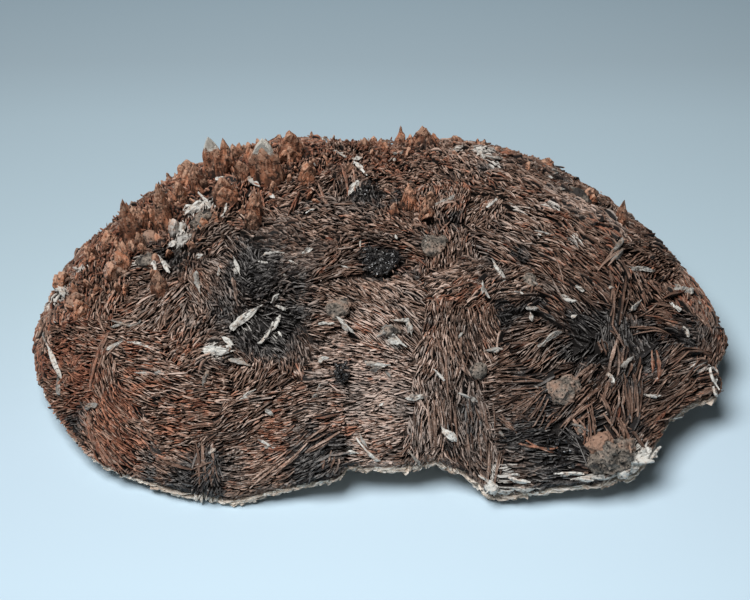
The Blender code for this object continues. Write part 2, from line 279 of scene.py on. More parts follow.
edgeTable = np.array(sorted(
    (math.atan2(y - crownY, x - crownX), math.hypot(x - crownX, y - crownY), foot, wall)
    for x, y, foot, wall in slab["edge"]))


def edgeAt(angle):  # the edge's reach from the crown, foot height and wall height in a direction
    return [np.interp(angle, edgeTable[:, 0], edgeTable[:, i], period=math.tau) for i in (1, 2, 3)]


def fromCrown(reach, angle):
    return crownX + reach * np.cos(angle), crownY + reach * np.sin(angle)


def shareAt(x, y):  # 0 at the crown, 1 at the edge
    dx, dy = x - crownX, y - crownY
    return np.hypot(dx, dy) / edgeAt(np.arctan2(dy, dx))[0]


def topHeight(x, y):
    dx, dy = x - crownX, y - crownY
    reach, foot, wall = edgeAt(np.arctan2(dy, dx))
    share = np.minimum(1.0, np.hypot(dx, dy) / reach)
    rim = foot + wall
    height = rim + (slab["height"] - rim) * (1 - share ** slab["shoulder"]) ** slab["fullness"]
    fade = 1 - share**4
    for atX, atY, width, rise in slab["swells"]:
        height = height + rise * fade * np.exp(-((x - atX) ** 2 + (y - atY) ** 2) / width**2)
    return height


def onTop(x, y):
    return np.stack([x, y, topHeight(x, y)], -1)


def unit(vectors):
    return vectors / np.linalg.norm(vectors, axis=-1, keepdims=True)


def underRise(share):  # how far the base has risen towards the foot's height, from its flat part to the edge
    return np.maximum(0, (share - slab["flatShare"]) / (1 - slab["flatShare"])) ** slab["undercut"]


def outOf(x, y, step=1.0, steepest=3.2):
    # the direction straight out of the dome, kept from lying flat where the flank is steep
    slopeX = (topHeight(x + step, y) - topHeight(x - step, y)) / (2 * step)
    slopeY = (topHeight(x, y + step) - topHeight(x, y - step)) / (2 * step)
    size = np.maximum(1.0, np.hypot(slopeX, slopeY) / steepest)
    return unit(np.stack([-slopeX / size, -slopeY / size, np.ones_like(slopeX)], -1))


def turned(vectors, axis, angle):  # turns each vector about its axis
    c, s = np.cos(angle)[:, None], np.sin(angle)[:, None]
    dot = np.sum(vectors * axis, -1, keepdims=True)
    return vectors * c + np.cross(axis, vectors) * s + axis * dot * (1 - c)


def heading(turn):  # level unit vectors
    return np.stack([np.cos(turn), np.sin(turn), np.zeros_like(turn)], -1)


def standing(x, y, turn, lean, dip):
    # three unit vectors at points of the dome: along a blade, across it, and up its height
    up = outOf(x, y)
    along = heading(turn)
    along = unit(along - up * np.sum(along * up, -1, keepdims=True))
    across = np.cross(up, along)
    up = turned(up, along, lean)
    across = turned(across, along, lean)
    return turned(along, across, dip), across, turned(up, across, dip)


def placed(base, local, along, across, up):
    # each copy's own points, laid out from its base along its three directions
    return base[:, None] + (local[..., :1] * along[:, None] + local[..., 1:2] * across[:, None]
                            + local[..., 2:] * up[:, None])


def spotsAt(spots, x, y):  # how strongly a list of (across, back, reach, strength) reaches a point
    total = np.zeros(np.shape(x))
    for atX, atY, reach, strength in spots:
        total = np.maximum(total, strength * np.exp(-((x - atX) ** 2 + (y - atY) ** 2) / reach**2))
    return total


# where the stone is tinted: across, back, reach, strength
tints = {
    "rust": [
        (-74, 14, 26, 1.0), (-50, 34, 24, 1.0), (-26, 34, 18, 0.9), (-40, 16, 15, 0.8), (-88, -6, 18, 0.7),
        (-95, -26, 16, 0.5), (-78, -30, 16, 0.55), (-72, -46, 14, 0.5), (2, 34, 20, 0.65), (12, 10, 14, 0.55),
        (-13, -20, 10, 0.35), (24, -26, 8, 0.5), (21, -27, 5, 0.7), (-4, -40, 8, 0.35), (76, -24, 10, 0.4),
        (52, -62, 8, 0.5), (84, -8, 14, 0.6), (93, -28, 14, 0.6), (-85, -36, 14, 0.85), (-93, -22, 12, 0.9),
        (-76, -48, 14, 0.8), (-66, -38, 12, 0.6), (-62, -52, 12, 0.5), (70, -18, 10, 0.45), (14, -36, 3, 0.9),
        (29, -39, 3, 0.9), (17, 13, 5, 0.8), (18, -28, 4, 0.7), (66, 9, 5, 0.9), (52, 10, 8, 0.5),
        (-30, -8, 7, 0.4), (-10, -56, 10, 0.35), (-40, -54, 14, 0.35), (7, -13, 3.5, 0.9), (17, -27, 4, 0.8),
        (28, -23, 3, 0.8), (15, -39, 3, 0.9), (3, -43, 6, 0.55), (-24, 26, 6, 0.8), (-56, -40, 5, 0.8),
        (-70, -55, 6, 0.8), (-50, -53, 5, 0.8), (-27, -59, 5, 0.6), (59, -35, 3, 0.8), (77, -31, 3, 0.8),
        (93, -4, 6, 0.8), (50, -27, 3, 0.5), (-20, 52, 26, 0.7), (-62, 46, 24, 0.8), (30, 52, 24, 0.5),
        (45, 26, 22, 0.45), (46, -2, 10, 0.3), (68, -10, 8, 0.4),
    ],
    # soot: the stone's own black patches together with painted shade in its hollows
    "sootAndShade": [
        (54, -37, 6, 0.7), (45, -52, 5, 0.8), (69, -29, 5, 0.8), (45, -26, 3, 0.7), (5, 13, 5, 0.6),
        (-5, 15, 5, 0.7), (88, -27, 5, 0.8), (38, -59, 6, 0.7), (33, -28, 2.5, 0.7), (25, -54, 3, 0.7),
        (20, -59, 3, 0.7), (-56, -65, 6, 0.8), (-14, -60, 5, 0.7), (57, -28, 5, 0.9), (76, -33, 5, 0.9),
        (60, -36, 4, 0.9), (70, -39, 5, 0.7), (39, -10, 3, 0.6), (14, -8, 4, 0.6), (20, 4, 4, 0.6),
        (30, 28, 4, 0.6), (-36, -12, 13, 0.74), (-24, -20, 9, 0.55), (-32, -31, 12, 0.82),
        (-43, -26, 9, 0.55), (-1, -12, 6, 0.85), (-11, -45, 2.6, 0.8), (47, -62, 9, 1.0), (57, -60, 6, 0.9),
        (60, -33, 7, 0.95), (64, -26, 6, 0.7), (76, -29, 9, 0.6), (-6, 12, 7, 0.55), (-60, -4, 6, 0.6),
        (-47, -65, 7, 0.7), (-65, -62, 4, 0.6), (-19, -62, 8, 0.8), (-12, -60, 4, 0.6), (58, -46, 6, 0.6),
        (40, -48, 5, 0.5), (14, -33, 4, 0.4), (90, -18, 9, 0.5), (70, -42, 7, 0.6), (16, -2, 5, 0.4),
        (-67, 6, 6, 0.5), (-22, 12, 6, 0.4), (27, -58, 5, 0.5), (71, -55, 5, 0.6),
    ],
    "grey": [
        (82, -22, 20, 0.4), (18, -45, 14, 0.6), (27, -55, 10, 0.5), (-34, -8, 16, 0.6), (-20, 0, 10, 0.4),
        (10, -38, 6, 0.3), (58, 25, 9, 0.8), (-62, -8, 10, 0.4), (-12, 12, 10, 0.4), (33, -58, 8, 0.6),
        (64, -30, 14, 0.5), (45, -30, 12, 0.4), (-32, -31, 9, 0.5), (48, 38, 10, 0.4),
    ],
    "crisp": [(40, -56, 22, 0.5), (78, -30, 24, 0.4)],
    # dim: darker, partly the stone's own tone and partly painted shade, most at the right end
    "dim": [
        (49, -61, 12, 0.6), (76, -27, 10, 0.4), (84, -14, 24, 1.3), (64, -34, 20, 1.0), (50, -46, 12, 0.5),
        (60, -56, 14, 0.8), (80, -40, 14, 0.8), (44, 44, 22, 0.35), (-30, -20, 14, 0.4), (-66, 20, 22, 0.25),
        (10, 30, 24, 0.3), (24, -52, 8, 0.2), (60, 40, 18, 0.3), (-60, -62, 8, 0.4), (-46, -44, 8, 0.2),
    ],
    # light: lighter, partly the stone's own tone and partly painted light, most at the middle of the front
    "light": [
        (-34, -20, 14, 0.5), (-4, -48, 17, 1.75), (2, -36, 10, 0.7), (14, -50, 9, 0.6), (22, -46, 9, 0.45),
        (40, 4, 26, 0.5), (26, 24, 22, 0.35), (62, 22, 18, 0.5), (-64, -24, 12, 0.45), (-36, -54, 12, 0.55),
        (-30, -60, 9, 0.5), (44, -24, 14, 0.35), (8, -26, 12, 0.45), (-56, -47, 12, 0.35), (-10, 22, 12, 0.3),
    ],
}


# where the stone is frosted white: across, back, reach, strength
frostSpots = [
    (-54, 14, 3.0, 1.0), (-49, 16, 3.2, 0.9), (-58, 6, 2.6, 1.0), (-57, 2, 2.4, 0.8), (-95, 1, 4.0, 0.8),
    (-88, 8, 3.5, 0.5), (-51, 38, 2.5, 0.6), (-38, -30, 2.2, 0.6), (-30, -33, 2.0, 0.6), (-47, -37, 2.6, 0.7),
    (-36, -27, 2.0, 0.4), (30, 38, 4.0, 0.8), (34, 31, 3.0, 0.7), (22, 38, 4.0, 0.5), (50, 13, 3.0, 0.7),
    (56, -1, 3.0, 0.5), (40, 8, 3.0, 0.5), (66, 20, 3.0, 0.5), (12, 44, 3.0, 0.5), (90, -33, 3.0, 0.6),
    (72, -61, 4.0, 0.9), (66, -66, 4.0, 0.7), (33, -66, 3.5, 0.8), (-10, -50, 2.5, 0.3), (18, 12, 3.0, 0.4),
    (-70, -2, 3.0, 0.5), (-78, -2, 3.0, 0.4), (-40, -62, 3.0, 0.4), (3, -39, 2.4, 0.6), (-7, 16, 2.0, 0.6),
]


def frostAt(x, y):
    return spotsAt(frostSpots, x + 1.2 * flatCloud(x, y, 2.5, 8), y + 1.2 * flatCloud(x, y, 2.5, 9))


def crumbleAt(x, y):  # where the stone is rubbly, with few blades
    spots = [(-74, 16, 17, 0.8), (-52, 33, 16, 0.8), (-30, 36, 12, 0.7), (-88, 2, 12, 0.6),
             (-42, 20, 9, 0.5), (-96, -12, 8, 0.5), (6, 38, 10, 0.6), (20, 40, 12, 0.5), (-5, 24, 8, 0.4),
             (9, 10, 6, 0.4), (-52, 10, 6, 0.5), (48, 12, 8, 0.4), (28, 22, 7, 0.3), (66, 30, 10, 0.3),
             (-40, 55, 25, 0.6), (30, 58, 18, 0.5), (-12, 36, 8, 0.4)]
    return spotsAt(spots, x + 3 * flatCloud(x, y, 6.0, 12), y + 3 * flatCloud(x, y, 6.0, 13))


def tintAt(x, y):
    # rust, soot with painted shade, and lightness that carries painted light and shade, at points of the
    # dome, broken up so that no patch has a round edge
    wander = 3.0 * flatCloud(x, y, 7.0, 5)
    drift = 3.0 * flatCloud(x, y, 7.0, 6)
    found = [spotsAt(tints[name], x + wander, y + drift) for name in ("rust", "grey", "sootAndShade", "light", "dim")]
    return np.stack([found[0] - found[1], found[2], found[3] - found[4]], -1)


def deselect():
    bpy.ops.object.select_all(action="DESELECT")


def readForm(piece):
    # a modelled form's points and triangles as arrays, after which the form is taken away
    mesh = piece.data
    mesh.calc_loop_triangles()
    points = np.empty(len(mesh.vertices) * 3)
    mesh.vertices.foreach_get("co", points)
    corners = np.empty(len(mesh.loop_triangles) * 3, np.int32)
    mesh.loop_triangles.foreach_get("vertices", corners)
    bpy.data.objects.remove(piece)
    return points.reshape(-1, 3), corners.reshape(-1, 3)


def writeValues(mesh, values):
    # one number or one triple for each point, for the materials to read
    for name, numbers in values.items():
        numbers = np.asarray(numbers, np.float32)
        kind, key = ("FLOAT", "value") if numbers.ndim == 1 else ("FLOAT_VECTOR", "vector")
        layer = mesh.attributes.new(name, kind, "POINT")
        layer.data.foreach_set(key, numbers.ravel())


def joined(name, points, corners, values, material):
    # one mesh from many copies: points is copies x points x 3, in millimetres
    copies, count = points.shape[:2]
    allCorners = (corners[None] + (np.arange(copies) * count)[:, None, None]).reshape(-1, 3)
    mesh = bpy.data.meshes.new(name)
    mesh.vertices.add(copies * count)
    mesh.vertices.foreach_set("co", (points.reshape(-1) * mm).astype(np.float32))
    mesh.loops.add(allCorners.size)
    mesh.loops.foreach_set("vertex_index", allCorners.ravel().astype(np.int32))
    mesh.polygons.add(len(allCorners))
    mesh.polygons.foreach_set("loop_start", np.arange(0, allCorners.size, 3, dtype=np.int32))
    writeValues(mesh, {key: np.reshape(each, (-1,) + np.shape(each)[2:]) for key, each in values.items()})
    mesh.update(calc_edges=True)
    mesh.shade_flat()
    mesh.materials.append(material)
    piece = bpy.data.objects.new(name, mesh)
    scene.collection.objects.link(piece)
    finishPiece(piece)


def finishPiece(piece):
    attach(piece, "root")
    print(piece.name, len(piece.data.polygons), "faces")


def spread(values, count):  # one value for each copy, given to all its points
    return np.repeat(values[:, None], count, axis=1)


def groundValues(x, y, count):  # the stone's tint and frost where each copy stands
    return {"tint": spread(tintAt(x, y), count), "frost": spread(frostAt(x, y), count)}


finish = {
    # deep: the dark of the painted shade at the blades' feet and between them, and the dark end of grey
    "deep": (0.008, 0.0062, 0.0055),
    "brown": (0.142, 0.08, 0.055),
    "tan": (0.43, 0.292, 0.222),
    "pinkTan": (0.62, 0.475, 0.40),
    "rust": (0.17, 0.055, 0.03),
    "brightRust": (0.43, 0.165, 0.085),
    "sootAndShade": (0.018, 0.0175, 0.0185),
    "ash": (0.21, 0.198, 0.187),
    "grey": (0.21, 0.19, 0.175),
    "chalk": (0.62, 0.59, 0.54),
    "cream": (0.54, 0.42, 0.33),
    "matrix": (0.30, 0.19, 0.125),
    "stain": (0.21, 0.09, 0.045),
    "dirt": (0.075, 0.06, 0.052),
}


def bladePaint(place, tint, shade, rise):
    # brown to tan by shade, lightness that carries painted light and shade, then rust, grey and soot where
    # the stone has them, the soot carrying painted shade too, and painted shade towards the foot
    rust, sootAndShade, light = (tint.part(i) for i in range(3))
    grain = place.noise(0.55, 3.0, 0.7)
    patch = place.noise(4.0, 3.0)
    tone = (shade + light * 0.24 + grain * 1.3 + patch * 0.3 - 0.98).between(0.0, 0.9)
    colour = tone.mix(finish["brown"], finish["tan"])
    colour = (shade * 0.9 + light * 0.4 + grain * 0.9 - 1.1).between(0.0, 0.5).mix(colour, finish["pinkTan"])
    hue = place.noise(2.0, 3.0)
    rusty = (rust * 0.75 + patch * 1.1 + hue * 0.9 - 1.24).between(0.0, 0.5)
    colour = (rusty * 0.8).mix(colour, tone.mix(finish["rust"], finish["brightRust"]))
    greyed = (place.noise(8.0, 3.0) + sootAndShade * 0.4 - rust * 0.35 - 0.44).between(0.0, 0.3) * 0.6
    colour = greyed.mix(colour, tone.mix(finish["deep"], finish["grey"]))
    # soot and painted shade: dark in the hollows and, through the seams, between bundles
    sootAndShadeShare = (sootAndShade * 1.1 + place.noise(1.5, 3.0) * 0.8 - 0.66).between(0.0, 0.4)
    char = (grain * 1.2 + shade * 0.5 - 0.62).between(0.0, 0.7)
    colour = (sootAndShadeShare * 0.94).mix(colour, char.mix(finish["sootAndShade"], finish["ash"]))
    frost = (place.attribute("frost") + grain * 0.6 - 0.55).between(0.0, 0.3)
    colour = (frost * 0.9).mix(colour, finish["chalk"])
    speck = place.noise(0.5, 1.0).between(0.66, 0.74)
    colour = (speck * 0.45).mix(colour, finish["chalk"])
    # painted shade: each blade is dark towards its foot, where the gaps between blades fall dark
    return rise.mix(finish["deep"], colour), grain


def makeBladeMaterial():
    material, shader, place = newMaterial("brownBlades", 0.74, 0.3)
    rise = place.attribute("rise").between(0.74, 0.99)
    colour, grain = bladePaint(place, place.attribute("tint", "Vector"), place.attribute("shade"), rise)
    feed(shader, "Base Color", colour)
    bumped(shader, grain, 0.16, 0.7)
    return material


def makeStoneMaterial():
    # dark between the blades, the stone's own dark ground deepened with painted shade in the gaps, pale and
    # splintery where the slab is broken
    material, shader, place = newMaterial("stoneGround", 0.82, 0.25)
    broken = place.attribute("broken")
    grain = place.noise(0.8, 4.0, 0.7)
    base, _ = bladePaint(place, place.attribute("tint", "Vector"), grain * 0.7 - 0.05, 1 - grain * 0.4)
    # the ground between the blades is darkened with the painted shade colour
    ground = grain.between(0.35, 0.8).mix(finish["deep"], base)
    vein = place.noise(3.2, 4.0, 0.6)
    matrix = vein.between(0.36, 0.62).mix(finish["matrix"], finish["cream"])
    matrix = place.noise(1.1, 3.0).between(0.56, 0.72).mix(matrix, finish["chalk"])
    matrix = (place.noise(7.0, 3.0).between(0.56, 0.7) * 0.7).mix(matrix, finish["stain"])
    matrix = (place.noise(2.0, 2.0).between(0.58, 0.7) * 0.8).mix(matrix, finish["dirt"])
    feed(shader, "Base Color", broken.between(0.3, 0.7).mix(ground, matrix))
    bumped(shader, grain + vein * 0.6, 0.35, 0.8)
    return material


crystalColours = {
    "dark": (0.12, 0.046, 0.026), "orange": (0.52, 0.225, 0.125),
    "brown": (0.085, 0.05, 0.035), "tan": (0.44, 0.275, 0.19),
    "peach": (0.50, 0.28, 0.185), "highlightStreak": (0.60, 0.36, 0.245),
    "crack": (0.034, 0.022, 0.017), "pitShade": (0.028, 0.017, 0.013), "foot": (0.022, 0.014, 0.011),
    "tipGrey": (0.40, 0.35, 0.29), "tipWhite": (0.70, 0.67, 0.60),
}


def makeCrystalMaterial():
    # orange and brown in patches and cracked, with pits and the foot darkened as painted shade, a painted
    # highlight in broken streaks towards the top, and white at a few tips
    material, shader, place = newMaterial("rustCrystal", 0.72, 0.3)
    rise, shade = place.attribute("rise"), place.attribute("shade")
    grain = place.noise(0.6, 4.0, 0.7)
    patch = place.noise(2.6, 3.0)
    hue = place.noise(6.0, 2.0)
    orange = (grain * 1.3 + shade * 0.5 - 0.5).between(0.0, 0.8)
    orange = orange.mix(crystalColours["dark"], crystalColours["orange"])
    brown = (grain * 1.2 + patch * 0.4 - 0.4).between(0.0, 0.8)
    brown = brown.mix(crystalColours["brown"], crystalColours["tan"])
    colour = (hue * 1.2 + patch * 0.7 - 0.85).between(0.0, 0.5).mix(orange, brown)
    colour = (patch.between(0.55, 0.75) * 0.55).mix(colour, crystalColours["peach"])
    colour = (place.noise(1.8, 4.0, 0.7).between(0.52, 0.6) * 0.9).mix(colour, crystalColours["crack"])
    # dark pits: painted shade in the pits, which the bump also dents
    pits = place.cells(1.3).between(0.1, 0.3)
    colour = pits.mix(crystalColours["pitShade"], colour)
    speck = place.noise(0.6, 2.0).between(0.66, 0.76)
    colour = (speck * 0.5).mix(colour, finish["chalk"])
    frost = (place.attribute("frost") + grain * 0.6 - 0.6).between(0.0, 0.3)
    colour = (frost * 0.9).mix(colour, finish["chalk"])
    # painted shade towards each crystal's foot
    colour = (rise + shade * 0.16 - 0.08).between(0.38, 0.72).mix(crystalColours["foot"], colour)
    # painted highlight in broken streaks, stronger towards the top of each crystal
    highlightStreak = place.noise(1.4, 4.0, 0.7)
    colour = ((rise * 0.5 + highlightStreak - 0.87).between(0.0, 0.16) * 0.8).mix(colour, crystalColours["highlightStreak"])
    tip = (place.attribute("chalk") + grain * 0.9 + patch * 0.4 - 0.65).between(0.35, 0.5)
    white = (grain * 1.4 - 0.2).between(0.0, 0.7).mix(crystalColours["tipGrey"], crystalColours["tipWhite"])
    feed(shader, "Base Color", tip.mix(colour, white))
    bumped(shader, grain + pits * 0.6, 0.3, 0.8)
    return material


paleColours = {"dull": (0.13, 0.115, 0.10), "bright": (0.66, 0.64, 0.59), "tan": (0.40, 0.28, 0.20),
               "dirt": (0.06, 0.05, 0.045), "foot": (0.05, 0.04, 0.035)}


def makePaleMaterial():
    material, shader, place = newMaterial("paleBlade", 0.5, 0.45)
    shade, rise = place.attribute("shade"), place.attribute("rise")
    grain = place.noise(0.6, 4.0, 0.6)
    colour = (shade + grain * 0.7 - 0.35).between(0.0, 1.0).mix(paleColours["dull"], paleColours["bright"])
    colour = (place.noise(1.8, 3.0).between(0.5, 0.66) * 0.6).mix(colour, paleColours["tan"])
    colour = (place.noise(1.1, 3.0).between(0.52, 0.66) * 0.85).mix(colour, paleColours["dirt"])
    # painted shade towards the foot of each pale piece
    feed(shader, "Base Color", rise.between(0.05, 0.6).mix(paleColours["foot"], colour))
    bumped(shader, grain, 0.18, 0.6)
    return material


lumpColours = {"dark": (0.05, 0.045, 0.038), "grey": (0.38, 0.32, 0.265), "darkTan": (0.16, 0.085, 0.055),
               "tan": (0.46, 0.29, 0.21), "dirt": (0.035, 0.031, 0.028), "pitShade": (0.022, 0.018, 0.016)}


def makeLumpMaterial():
    material, shader, place = newMaterial("greyLump", 0.8, 0.3)
    shade = place.attribute("shade")
    grain = place.noise(0.7, 4.0, 0.65)
    patch = place.noise(3.4, 3.0)
    grey = (grain * 1.2 + patch * 0.9 + shade * 0.35 - 0.85).between(0.0, 0.8)
    grey = grey.mix(lumpColours["dark"], lumpColours["grey"])
    tan = grain.mix(lumpColours["darkTan"], lumpColours["tan"])
    colour = (shade * 0.8 + patch * 0.8 - 0.75).between(0.0, 0.3).mix(grey, tan)
    colour = (place.noise(2.2, 3.0) - shade * 0.3).between(0.38, 0.52).mix(colour, lumpColours["dirt"])
    # dark pits: painted shade in the pits, which the bump also dents
    pits = place.cells(1.1).between(0.12, 0.32)
    feed(shader, "Base Color", pits.mix(lumpColours["pitShade"], colour))
    bumped(shader, grain + pits * 0.8, 0.3, 0.8)
    return material


druseColours = {"black": (0.006, 0.006, 0.007), "glint": (0.055, 0.05, 0.046)}


def makeDruseMaterial():
    material, shader, place = newMaterial("blackDruse", 0.22, 0.6)
    grain = place.noise(0.8, 3.0)
    feed(shader, "Base Color", grain.between(0.35, 0.8).mix(druseColours["black"], druseColours["glint"]))
    feed(shader, "Roughness", grain.between(0.3, 0.7) * 0.35 + 0.14)
    bumped(shader, grain, 0.15, 0.5)
    return material


rimColours = {"brown": (0.38, 0.27, 0.20), "cream": (0.90, 0.80, 0.69), "chalk": (0.80, 0.76, 0.70),
              "dirt": (0.09, 0.06, 0.048), "foot": (0.05, 0.035, 0.028)}


def makeRimMaterial():
    material, shader, place = newMaterial("paleSplinter", 0.72, 0.35)
    shade = place.attribute("shade")
    grain = place.noise(0.8, 4.0, 0.65)
    colour = (shade * 0.9 + grain * 0.8 - 0.2).between(0.0, 0.9).mix(rimColours["brown"], rimColours["cream"])
    colour = (shade + place.noise(2.4, 2.0) * 0.6 - 0.9).between(0.0, 0.3).mix(colour, rimColours["chalk"])
    colour = (place.noise(3.5, 3.0).between(0.58, 0.7) * 0.7).mix(colour, rimColours["dirt"])
    # painted shade towards each splinter's foot
    feed(shader, "Base Color", place.attribute("rise").between(0.0, 0.5).mix(rimColours["foot"], colour))
    bumped(shader, grain, 0.2, 0.6)
    return material


brownBlades = makeBladeMaterial()
stoneGround = makeStoneMaterial()
rustCrystal = makeCrystalMaterial()
paleBlade = makePaleMaterial()
greyLump = makeLumpMaterial()
blackDruse = makeDruseMaterial()
paleSplinter = makeRimMaterial()
print("materials mixed")


def bladeForm(cuts):
    # a long thin wedge with its edge down, cut across its length so that its crest can be chipped
    deselect()
    quarter = math.pi / 2
    bpy.ops.mesh.primitive_cylinder_add(vertices=3, radius=1.0, depth=1.0, rotation=(-quarter, 0, -quarter))
    form = bpy.context.object
    bpy.ops.object.transform_apply(location=True, rotation=True, scale=True)
    bpy.ops.object.mode_set(mode="EDIT")
    bpy.ops.mesh.select_mode(type="EDGE")
    bpy.ops.mesh.select_all(action="DESELECT")
    bpy.ops.object.mode_set(mode="OBJECT")
    for edge in form.data.edges:
        a, b = (form.data.vertices[i].co for i in edge.vertices)
        edge.select = abs(a.x - b.x) > 0.5
    bpy.ops.object.mode_set(mode="EDIT")
    bpy.ops.mesh.subdivide(number_cuts=cuts)
    bpy.ops.mesh.select_all(action="SELECT")
    bpy.ops.transform.resize(value=(1.0, 0.577, 0.667))  # which makes it 1 wide and 1 high
    bpy.ops.object.mode_set(mode="OBJECT")
    return readForm(form)


def perStation(form):
    # how many stations a blade's form has along its length, and which one each point is at
    stations, at = np.unique(form[:, 0].round(3), return_inverse=True)
    return len(stations), at


sheaves = {
    # across, back, turn in degrees, reach
    "placed": [
        (-89, -20, -25, 9), (-87, -34, -15, 8), (-68, -33, -20, 10), (-65, -42, -15, 8), (-74, -52, -60, 10),
        (-64, -58, -50, 8), (-52, -50, -5, 10), (-59, -55, 0, 8), (-60, -63, -20, 9), (-48, -64, 75, 6),
        (-32, -63, 20, 13), (-38, -54, 30, 9), (-18, -64, 55, 8), (-9, -50, 0, 17), (-9, -59, 5, 10),
        (-25, -39, -70, 8), (-35, -47, 45, 9), (-66, -21, 25, 10), (-79, -12, 85, 8), (-45, -21, -60, 11),
        (-27, -15, 5, 10), (-39, -6, -65, 8), (-26, 1, -20, 13), (0, -28, -40, 14), (18, -38, 85, 13),
        (16, -53, 90, 11), (25, -59, 95, 12), (44, -40, 40, 8), (51, -3, -25, 19), (59, -23, -35, 10),
        (38, -53, 15, 13), (56, -54, 45, 10), (66, -28, 90, 9), (66, -48, 80, 9), (85, -41, 30, 12),
        (83, -18, 15, 9), (80, 4, 40, 9), (77, 19, 10, 8), (41, 24, -15, 15), (6, 27, 15, 15),
        (18, -7, 85, 9), (4, -2, -35, 10), (-23, 16, 20, 10), (31, 8, 55, 7), (75, -53, 40, 8),
        (44, -66, -5, 8), (-58, -6, 65, 8), (-15, 6, -15, 10), (-79, -35, 85, 6), (65, 31, 40, 10),
        (-42, -59, 10, 7), (49, -63, -5, 7), (54, -59, -45, 6),
    ],
    "openFrom": 34.0,  # right of this the blades are longer, with wide dark gaps between them
    "tries": 9000, "spacing": 13.0, "small": 8.0, "large": 11.0,  # bundles of any turn that fill the rest
    "warp": 2.2, "fan": 14.0, "lean": 12.0, "dip": 6.0, "step": 0.7, "tone": 0.13,
    "seed": 41,
}


def makeSheafTable():
    rng = np.random.default_rng(sheaves["seed"])
    rows = [tuple(map(float, row)) for row in sheaves["placed"]]
    for _ in range(sheaves["tries"]):
        angle = rng.uniform(-math.pi, math.pi)
        x, y = fromCrown(float(edgeAt(angle)[0]) * math.sqrt(rng.uniform(0, 0.99)), angle)
        if all(math.hypot(x - row[0], y - row[1]) > max(sheaves["spacing"], row[3] * 1.15) for row in rows):
            rows.append((x, y, rng.uniform(-90, 90), rng.uniform(sheaves["small"], sheaves["large"])))
    table = np.array(rows)
    count = len(table)
    swing = np.radians(sheaves["fan"])
    found = {
        "x": table[:, 0], "y": table[:, 1], "turn": np.radians(table[:, 2]), "reach": table[:, 3],
        "fan": rng.normal(0, swing, count), "curl": rng.normal(0, swing * 0.6, count),
        "lean": rng.normal(0, math.radians(sheaves["lean"]), count),
        "dip": rng.normal(0, math.radians(sheaves["dip"]), count),
        "lift": rng.normal(0, sheaves["step"], count),
        "tone": rng.uniform(-sheaves["tone"], sheaves["tone"], count),
    }
    wide = np.clip((table[:, 0] - sheaves["openFrom"]) / 14, 0, 1) * rng.uniform(0.5, 1.0, count)
    found["open"] = wide + rng.uniform(0, 0.25, count)
    return found


bundles = makeSheafTable()
print(len(bundles["x"]), "bundles of blades")


def bundleAt(x, y):
    # which bundle a point belongs to, how far out in it, and its place along and across the bundle
    warpX = x + sheaves["warp"] * flatCloud(x, y, 6.0, 31)
    warpY = y + sheaves["warp"] * flatCloud(x, y, 6.0, 32)
    dx, dy = warpX[:, None] - bundles["x"], warpY[:, None] - bundles["y"]
    c, s = np.cos(bundles["turn"]), np.sin(bundles["turn"])
    along, across = dx * c + dy * s, dy * c - dx * s
    far = np.hypot(along / 1.2, across / 0.85) / bundles["reach"]
    nearest = np.argmin(far, axis=1)
    pick = np.arange(len(x)), nearest
    reach = bundles["reach"][nearest]
    return nearest, far[pick], along[pick] / reach, across[pick] / reach


tufts = {
    "size": 3.2, "stretch": 1.8, "turn": 15.0, "mess": 38.0, "lean": 13.0, "dip": 6.0, "lift": 0.22,
    "tone": 0.1, "rust": 0.35, "shorten": 0.45, "seed": 61,
    # where the tufts lie every way, more like crumbs than like bundles: across, back, reach, strength
    "messy": [
        (-60, 20, 26, 0.9), (-30, 32, 26, 0.9), (5, 30, 28, 0.9), (35, 34, 24, 0.7), (60, 26, 20, 0.6),
        (-22, 12, 16, 0.6), (-84, -2, 16, 0.8), (-40, 2, 12, 0.5), (-92, -20, 12, 0.5), (50, 2, 14, 0.4),
        (-36, -24, 14, 0.8), (-50, -30, 10, 0.5), (14, 4, 12, 0.6), (84, -6, 12, 0.7), (-60, -60, 10, 0.4),
        (-20, 56, 40, 0.7), (50, 54, 24, 0.6),
    ],
}
tuftGrid = 64
tuftTable = np.random.default_rng(tufts["seed"]).uniform(-1, 1, (tuftGrid, tuftGrid, 8))


def tuftAt(u, v):
    # random values shared by the blades of one small tuft, from a point's place along and across its bundle
    a, b = u / (tufts["size"] * tufts["stretch"]), v / tufts["size"]
    cellA, cellB = np.floor(a).astype(int), np.floor(b).astype(int)
    least, found = np.full(len(u), np.inf), np.zeros((len(u), 8))
    for stepA in (-1, 0, 1):
        for stepB in (-1, 0, 1):
            tuft = tuftTable[(cellA + stepA) % tuftGrid, (cellB + stepB) % tuftGrid]
            offA = cellA + stepA + 0.5 + 0.45 * tuft[:, 6] - a
            offB = cellB + stepB + 0.5 + 0.45 * tuft[:, 7] - b
            far = np.hypot(offA, offB)
            nearer = far < least
            least = np.where(nearer, far, least)
            found = np.where(nearer[:, None], tuft, found)
    return found


def liftAt(x, y, nearest, far):
    # each bundle stands a little higher or lower than its neighbours and drops off at its edge
    step = bundles["lift"][nearest] * (1 - np.minimum(1, shareAt(x, y)) ** 6)
    return step - 0.9 * np.minimum(far, 1.3) ** 2 + 0.5 * flatCloud(x, y, 4.0, 44)


stoneShape = {
    "steps": 7, "sunk": 1.3,
    "lumps": ((5.0, 0.3), (2.0, 0.35), (1.0, 0.25)),  # size and height of each roughness
    "wallCut": 1.3,
}


